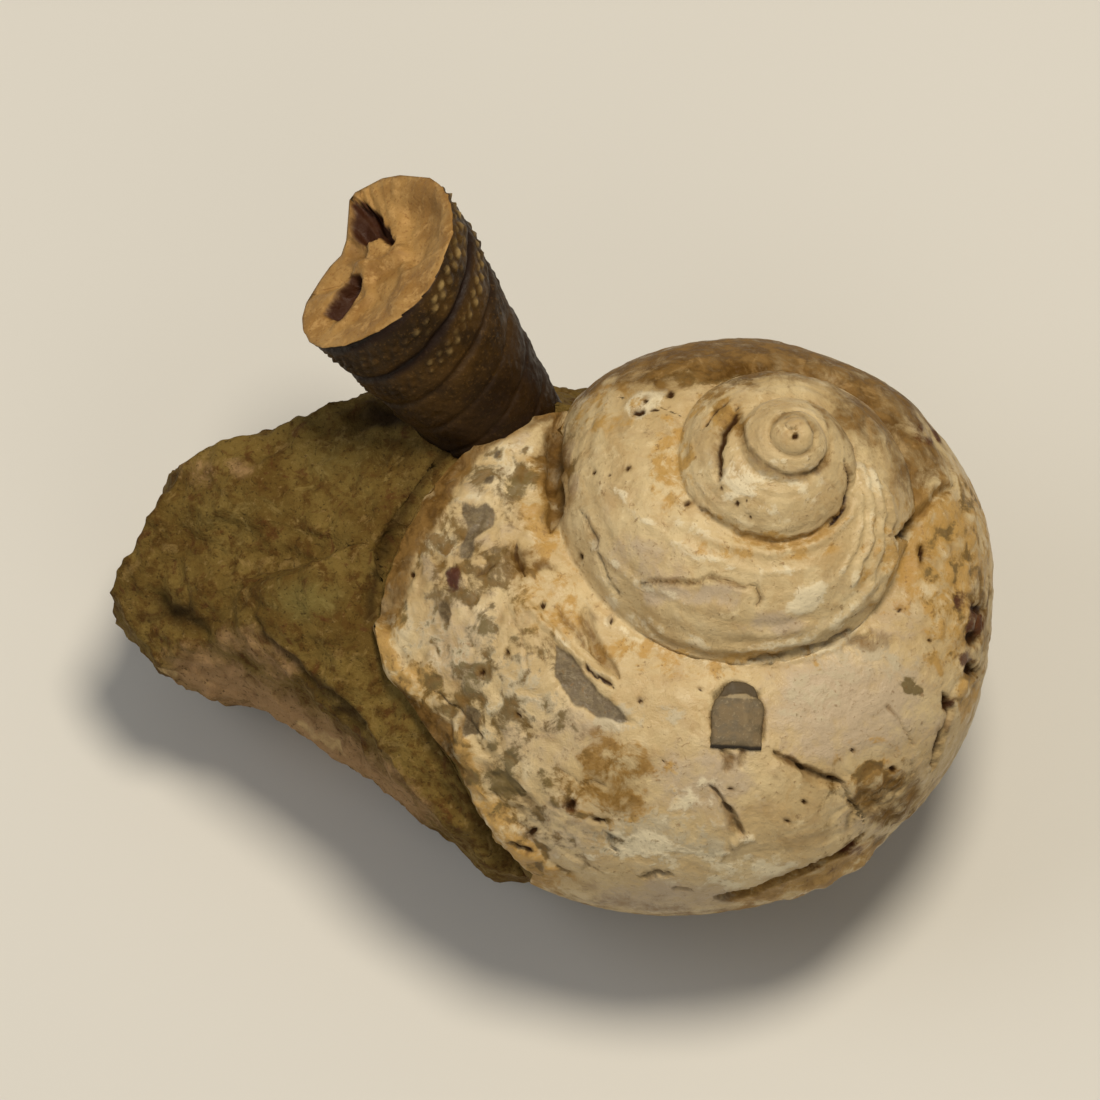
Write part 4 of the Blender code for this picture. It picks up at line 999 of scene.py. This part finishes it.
turretForm = {
    "mouth": (-14.85, 19.7, 46.1), "direction": (-0.514, 0.364, 0.774),
    "breakFacing": (-0.647, 0.215, 0.732),
    "radius": 8.45, "cone": 55.0, "length": 23.0, "whorlRatio": 0.916,
    "columns": 252, "rowsPerWhorl": 22, "beadsPerTurn": 42, "rings": 26, "dish": 1.1,
    # phase in the whorl, width, height, bead height
    "rows": [(0.13, 0.07, 0.014, 0.046), (0.96, 0.06, 0.008, 0.034), (0.36, 0.05, 0.004, 0.018)],
    "suture": (0.64, 0.085, 0.06), "fade": (3.5, 12.0),
    "biteAngle": 274.0, "biteReach": (2.5, 7.0), "biteDepth": 2.4, "biteDrop": 0.8,
    # the edge of the broken end in the photograph, and the middle that it is measured from
    "edgeMiddle": (382, 262),
    "edge": [
        (349, 200), (355, 192), (382, 178), (400, 175), (430, 178), (440, 185), (448, 197),
        (453, 215), (452, 235),
        (445, 255), (438, 272), (428, 290), (414, 305), (400, 317), (385, 328), (362, 340),
        (345, 346), (322, 348),
        (310, 342), (303, 330), (302, 318), (306, 303), (320, 280), (330, 266), (341, 255),
        (346, 240), (348, 215),
    ],
    # depth, redness of the dark red infill darkened with painted shade, softness in pixels, outline
    "hollows": [
        (1.5, 1.0, 2, [(352, 203), (362, 201), (372, 209), (378, 222), (387, 234), (384, 239),
                       (374, 233), (366, 238), (357, 241), (353, 228)]),
        (0.7, 0.4, 4, [(351, 238), (362, 240), (364, 250), (358, 262), (350, 268), (345, 262),
                       (348, 250)]),
        (1.3, 1.0, 2, [(354, 271), (357, 276), (350, 289), (341, 303), (335, 314), (327, 315),
                       (323, 311), (331, 299), (341, 285), (348, 273)]),
        (0.5, 0.0, 8, [(392, 200), (430, 196), (440, 215), (430, 250), (404, 262), (392, 240)]),
    ],
    # width, height, way
    "ribs": [
        (9, 0.7, [(352, 262), (366, 262), (380, 256), (392, 244)]),
        (9, 0.5, [(362, 270), (360, 290), (350, 306), (334, 324)]),
        (16, 0.5, [(400, 268), (402, 286), (396, 304)]),
    ],
}


def turretAxes():
    out = Vector(turretForm["direction"]).normalized()
    side = out.cross(Vector((0.0, 0.0, 1.0))).normalized()
    turned = Matrix((side, side.cross(out).normalized(), out)).transposed().to_4x4()
    return Matrix.Translation(Vector(turretForm["mouth"]) * mm) @ turned


def breakFacing():
    # the way that the broken end faces, in the turret's own axes
    return turretAxes().to_3x3().transposed() @ Vector(turretForm["breakFacing"]).normalized()


def wrapped(phase, middle):
    return np.abs((phase - middle + 0.5) % 1.0 - 0.5)


def turretRelief(along, angle):
    # how far the beads, rows and sutures stand out, as a share of the radius, how strong a
    # bead is, and a band of painted shade along the suture
    facing = breakFacing()
    form = turretForm
    slant = (facing.x * np.cos(angle) + facing.y * np.sin(angle)) / facing.z
    lean = slant * form["radius"] / form["cone"]
    reach = np.maximum(along * (1.0 + lean) / form["cone"], 0.05)
    whorls = np.log(reach) / math.log(form["whorlRatio"])
    phase = (whorls - angle / math.tau) % 1.0
    swell, bead = np.zeros(len(whorls)), np.zeros(len(whorls))
    down = turretForm["cone"] * (1.0 - turretForm["whorlRatio"] ** whorls)
    fade = 1.0 - 0.75 * smooth(*turretForm["fade"], down)
    for number, (middle, width, height, beadHeight) in enumerate(turretForm["rows"]):
        row = np.exp(-((wrapped(phase, middle) / width) ** 2))
        beads = 0.5 + 0.5 * np.cos(angle * turretForm["beadsPerTurn"] + number * 1.9)
        swell += row * (height + beadHeight * (beads ** 1.5 - 0.35)) * fade
        bead = np.maximum(bead, row ** 0.6 * beads ** 0.7 * fade * fade * min(beadHeight / 0.04,
                1.0))
    middle, width, depth = turretForm["suture"]
    groove = np.exp(-((wrapped(phase, middle) / width) ** 2))
    shade = np.exp(-((wrapped(phase, middle) / width / 1.9) ** 2))
    return swell - depth * groove * (0.4 + 0.6 * fade), bead, shade * fade


def turretColumn(column, rows):
    form = turretForm
    whorls = np.array(rows) / form["rowsPerWhorl"] + column / form["columns"]
    along = form["cone"] * form["whorlRatio"] ** whorls
    angle = np.full(len(whorls), math.tau * column / form["columns"])
    relief = turretRelief(along, angle)[0]
    radius = along * form["radius"] / form["cone"] * (1.0 + relief)
    return np.stack((radius * np.cos(angle), radius * np.sin(angle), along - form["cone"]), 1) * mm


def rimEdges(bm, place, facing):
    return [
        edge for edge in bm.edges
        if edge.is_boundary and abs((edge.verts[0].co - place).dot(facing)) < 0.02 * mm
    ]


def flatCut(bm, place, facing):
    bmesh.ops.bisect_plane(
        bm, geom=bm.verts[:] + bm.edges[:] + bm.faces[:], dist=0.01 * mm,
        plane_co=place, plane_no=facing, clear_outer=True,
    )
    ends = {vert for edge in rimEdges(bm, place, facing) for vert in edge.verts}
    bmesh.ops.remove_doubles(bm, verts=list(ends), dist=0.03 * mm)
    return rimEdges(bm, place, facing)


def fillMouth(bm, rim, layer):
    # the broken face, in rings from the rim, just over 0, to the middle at 1
    for vert in {vert for edge in rim for vert in edge.verts}:
        vert[layer] = 0.002
    for ring in range(turretForm["rings"]):
        made = bmesh.ops.extrude_edge_only(bm, edges=rim)["geom"]
        fresh = [part for part in made if isinstance(part, bmesh.types.BMVert)]
        rim = [part for part in made if isinstance(part, bmesh.types.BMEdge) and part.is_boundary]
        share = 1.0 - 1.0 / (turretForm["rings"] + 1 - ring)
        bmesh.ops.scale(bm, verts=fresh, vec=(share, share, share))
        for vert in fresh:
            vert[layer] = (ring + 1) / (turretForm["rings"] + 1)
    bmesh.ops.edgeloop_fill(bm, edges=rim)


def buildTurret():
    form = turretForm
    whorls = math.log((form["cone"] - form["length"]) / form["cone"]) / math.log(form["whorlRatio"])
    rows = range(-2 * form["rowsPerWhorl"], math.ceil(whorls * form["rowsPerWhorl"]) + 1)
    bm = bmesh.new()
    layer = bm.verts.layers.float.new("faceShare")
    chain = startChain(bm, turretColumn(0, rows))
    for column in range(1, form["columns"] + 1):
        chain = extrudeChain(bm, chain)
        for vert, point in zip(chain, turretColumn(column, rows)):
            vert.co = point
    bmesh.ops.remove_doubles(bm, verts=bm.verts, dist=0.003 * mm)
    fillMouth(bm, flatCut(bm, Vector((0.0, 0.0, 0.0)), breakFacing()), layer)
    hiddenEnd = flatCut(bm, Vector((0.0, 0.0, -form["length"] * mm)), Vector((0.0, 0.0, -1.0)))
    bmesh.ops.edgeloop_fill(bm, edges=hiddenEnd)
    bm.transform(turretAxes())
    bmesh.ops.recalc_face_normals(bm, faces=bm.faces)
    return makePiece("turretShell", bm, [turretFinish])


def polarReach(spots, middle):
    off = spots - np.array(middle, float)
    return np.arctan2(off[:, 1], off[:, 0]), np.hypot(off[:, 0], off[:, 1])


def fitEdge(points, faceShare, below):
    # moves the broken end across the line of sight, so that its edge has the outline in the
    # photograph
    form = turretForm
    corners = np.array(form["edge"] + form["edge"][:1], float)
    steps = np.linspace(0.0, 1.0, 9)[:-1, None]
    drawn = np.vstack([start + (end - start) * steps for start,
                       end in zip(corners[:-1], corners[1:])])
    spots = photoSpots(points)
    rim = (faceShare > 0.0) & (faceShare < 0.01)
    tables = []
    for places in (drawn, spots[rim]):
        angle, reach = polarReach(places, form["edgeMiddle"])
        order = np.argsort(angle)
        tables.append((angle[order], reach[order]))
    angle, reach = polarReach(spots, form["edgeMiddle"])
    wanted, present = [np.interp(angle, *table, period=math.tau) for table in tables]
    share = np.where(faceShare > 0.0, 1.0 - faceShare, np.exp(-((below / 3.2) ** 2)))
    move = (wanted / present - 1.0) * share * np.minimum(reach / present, 1.0)
    move *= present / np.maximum(reach, 1.0)
    shift = (spots - np.array(form["edgeMiddle"], float)) * move[:, None] / photo["pixelsPerMm"]
    return points + shift[:, :1] * np.array((1.0, 0.0, 0.0)) - shift[:, 1:] * photoUp


def sculptTurret(piece):
    form = turretForm
    mesh = piece.data
    axes = np.array(turretAxes())
    axes[:3, 3] /= mm
    points, normals = readPoints(mesh), readNormals(mesh)
    faceShare = readLayer(mesh, "faceShare")
    face = smooth(0.0, 0.001, faceShare)
    local = (points - axes[:3, 3]) @ axes[:3, :3]
    out = np.array(breakFacing())
    below = -(local @ out)
    angle = np.arctan2(local[:, 1], local[:, 0]) % math.tau
    along = np.maximum(local[:, 2] + form["cone"], 1.0)
    # groove here is a band of painted shade along each suture
    bead, groove = turretRelief(along, angle)[1:]
    away = np.array((math.cos(math.radians(form["biteAngle"])),
                     math.sin(math.radians(form["biteAngle"])), 0.0))
    share = 1.0 - smooth(*form["biteReach"], np.linalg.norm(local - away * form["radius"], axis=1))
    local -= away * (share * form["biteDepth"])[:, None]
    local[:, 2] -= share * form["biteDrop"]
    points = fitEdge(local @ axes[:3, :3].T + axes[:3, 3], faceShare, below)
    spots = photoSpots(points) + np.stack((noiseAt(points, 1.2, 3.1), noiseAt(points, 1.2, 9.7)),
                                          1) * 3.0
    height = -form["dish"] * smooth(3.0, 40.0, -insideReach(photoSpots(points), form["edge"]))
    red = np.zeros(len(points))
    for depth, colour, softness, outline in form["hollows"]:
        reach = insideReach(spots, outline)
        height -= depth * (1.0 - smooth(-softness, softness * 0.6, reach))
        red = np.maximum(red, colour * face * (1.0 - smooth(-1.0, 3.4, reach)))
    for width, rise, way in form["ribs"]:
        height += rise * (1.0 - smooth(0.0, 1.0, wayReach(spots, way)[0] / width))
    height += noiseAt(points, 2.2, 5.0) * 0.22 + noiseAt(points, 0.9, 2.0) * 0.09
    height *= smooth(0.0, 0.08, faceShare)
    points += (height * face)[:, None] * (axes[:3, :3] @ out)
    wear = noiseAt(points, 2.2, 6.6) * 0.16 + noiseAt(points, 0.7, 1.6) * 0.07
    points += normals * (wear * (1.0 - face))[:, None]
    side = 1.0 - face
    # painted shade: a dark band along the sutures and a darker low end where the turret meets the
    # rock
    dark = np.maximum(groove * side * 0.9, smooth(7.0, 15.0, below) * side * 0.6)
    # beads painted brighter towards the right, a painted highlight
    lit = 0.25 + 0.75 * smooth(395.0, 450.0, spots[:, 0])
    bead = bead * lit * (0.75 + 0.8 * noiseAt(points, 1.6, 3.3))
    masks = [bead * side * smooth(0.1, 0.7, below), face, red, dark]
    writePoints(mesh, points)
    writeMasks(mesh, "turretStainShadeAndHighlight", masks)


turret = buildTurret()
sculptTurret(turret)
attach(turret, "root")
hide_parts("turret_shell")
print("turret built:", len(turret.data.polygons), "faces")


rock = buildRock()
plainShells = [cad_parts[name].data for name in ("snail_shell", "turret_shell")]
sculptRock(rock, treeOf(plainShells), treeOf([shell.data, turret.data]))
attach(rock, "root")
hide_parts("rock_matrix")
print("rock built:", len(rock.data.polygons), "faces")


# the stone chip

chipForm = {
    "centre": (15.4, -16.7, 35.2), "facing": (0.11, -0.25, 0.96), "depth": 3.6,
    "outline": [
        (-2.15, -2.8), (2.05, -2.8), (2.25, 0.5), (1.8, 1.8), (1.4, 2.6), (0.6, 3.0), (-0.6, 3.0),
        (-1.3, 2.5),
        (-1.75, 1.6), (-2.2, 0.3),
    ],
    "rings": [(1.0, -1.2), (1.0, -0.1), (0.96, 0.12), (0.88, 0.24), (0.7, 0.3), (0.5, 0.34),
              (0.3, 0.36), (0.1, 0.36)],
}


def buildChip():
    form = chipForm
    bm = bmesh.new()
    corners = np.array(form["outline"] + form["outline"][:1])
    steps = np.linspace(0.0, 1.0, 6)[:-1, None]
    outline = np.vstack([start + (end - start) * steps for start,
                         end in zip(corners[:-1], corners[1:])])
    foot = startChain(bm, [(x * mm, y * mm, -form["depth"] * mm) for x, y in outline], closed=True)
    bm.faces.new(foot)
    ring = foot
    for size, height in form["rings"]:
        ring = extrudeChain(bm, ring, closed=True)
        for vert, (x, y) in zip(ring, outline):
            vert.co = (x * size * mm, y * size * mm, height * mm)
    bm.faces.new(ring)
    refine(bm, lambda mesh: None, lambda edge: 0.3, 4)
    bmesh.ops.triangulate(bm, faces=bm.faces)
    bmesh.ops.recalc_face_normals(bm, faces=bm.faces)
    facing = Vector(form["facing"]).normalized()
    across = Vector((0.0, 1.0, 0.0)).cross(facing).normalized()
    turned = Matrix((across, facing.cross(across).normalized(), facing)).transposed().to_4x4()
    piece = makePiece("stoneChip", bm, [chipFinish])
    points, normals = readPoints(piece.data), readNormals(piece.data)
    worn = noiseAt(points, 1.5, 2.0) * 0.16 + noiseAt(points, 0.6, 5.0) * 0.08
    cap = smooth(1.55, 1.95, points[:, 1] + np.abs(points[:, 0]) * 0.2 + noiseAt(points, 0.8,
            4.0) * 0.2)
    bent = points[:, 0] - 0.7 + 0.15 * points[:, 1] + noiseAt(points, 1.2, 6.0) * 0.3
    ridge = np.exp(-((bent / 0.5) ** 2)) * (1.0 - cap)
    points += normals * (worn + 0.16 * ridge - 0.22 * cap)[:, None]
    writePoints(piece.data, points)
    # painted shadow along the foot, and painted shade on the part below the shell's surface
    foot = smooth(-2.45, -2.75, points[:, 1])
    deep = 1.0 - smooth(-0.9, -0.3, points[:, 2])
    # edge: a lighter worn top edge, and a painted highlight along the ridge
    edge = np.maximum(smooth(1.1, 1.5, points[:, 1]), 0.35 * ridge) * (1.0 - cap)
    writeMasks(piece.data, "chipStainShadeAndHighlight", [cap, np.maximum(foot * 0.8, deep), edge, foot * 0.0])
    piece.data.transform(Matrix.Translation(Vector(form["centre"]) * mm) @ turned)
    return piece


chip = buildChip()
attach(chip, "root")
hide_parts("stone_chip")
print("chip built")


# floor, light and camera

studio = {
    "floorColour": (206, 204, 198), "skyColour": (236, 236, 232), "skyStrength": 0.24,
    "lens": 1400.0, "sensor": 36.0, "frameWidth": 91.67, "aim": (-0.19, -1.24, 34.1),
    # place, size in metres, power, colour
    "lamps": [
        ((0.12, 0.08, 0.90), 0.26, 6.6, (255, 243, 222)),
        ((-0.55, -0.05, 0.60), 0.5, 1.3, (240, 240, 244)),
        ((0.20, -0.60, 0.55), 0.5, 0.6, (255, 246, 232)),
    ],
}


def buildFloor():
    bm = bmesh.new()
    bmesh.ops.create_grid(bm, x_segments=2, y_segments=2, size=3.0)
    floor = makePiece("floor", bm, [])
    finish = Finish("pale floor")
    grain = finish.noise(0.8, 3.0)
    finish.join(finish.mix(finish.ramp(grain, 0.3, 0.7), paint(*studio["floorColour"]),
                           paint(206, 204, 198)), finish.shader.inputs["Base Color"])
    finish.shader.inputs["Roughness"].default_value = 0.9
    floor.data.materials.append(finish.material)


def lightScene():
    world = bpy.data.worlds.new("studio")
    bpy.context.scene.world = world
    world.use_nodes = True
    back = world.node_tree.nodes["Background"]
    back.inputs["Color"].default_value = paint(*studio["skyColour"])
    back.inputs["Strength"].default_value = studio["skyStrength"]
    aim = Vector(studio["aim"]) * mm
    for number, (place, size, power, colour) in enumerate(studio["lamps"]):
        data = bpy.data.lights.new(f"lamp{number}", "AREA")
        data.shape = "DISK"
        data.size = size
        data.energy = power
        data.color = paint(*colour)[:3]
        lamp = bpy.data.objects.new(f"lamp{number}", data)
        bpy.context.scene.collection.objects.link(lamp)
        lamp.location = place
        lamp.rotation_euler = (aim - Vector(place)).to_track_quat("-Z", "Y").to_euler()


def placeCamera():
    data = bpy.data.cameras.new("camera")
    data.lens, data.sensor_width = studio["lens"], studio["sensor"]
    distance = studio["frameWidth"] * studio["lens"] / studio["sensor"] * mm
    data.clip_end = distance * 4.0
    camera = bpy.data.objects.new("camera", data)
    bpy.context.scene.collection.objects.link(camera)
    camera.location = Vector(studio["aim"]) * mm + Vector(toCamera) * distance
    camera.rotation_euler = Vector(toCamera).to_track_quat("Z", "Y").to_euler()
    bpy.context.scene.camera = camera
    bpy.context.scene.view_settings.view_transform = "Standard"


buildFloor()
lightScene()
placeCamera()
print("floor, light and camera placed")
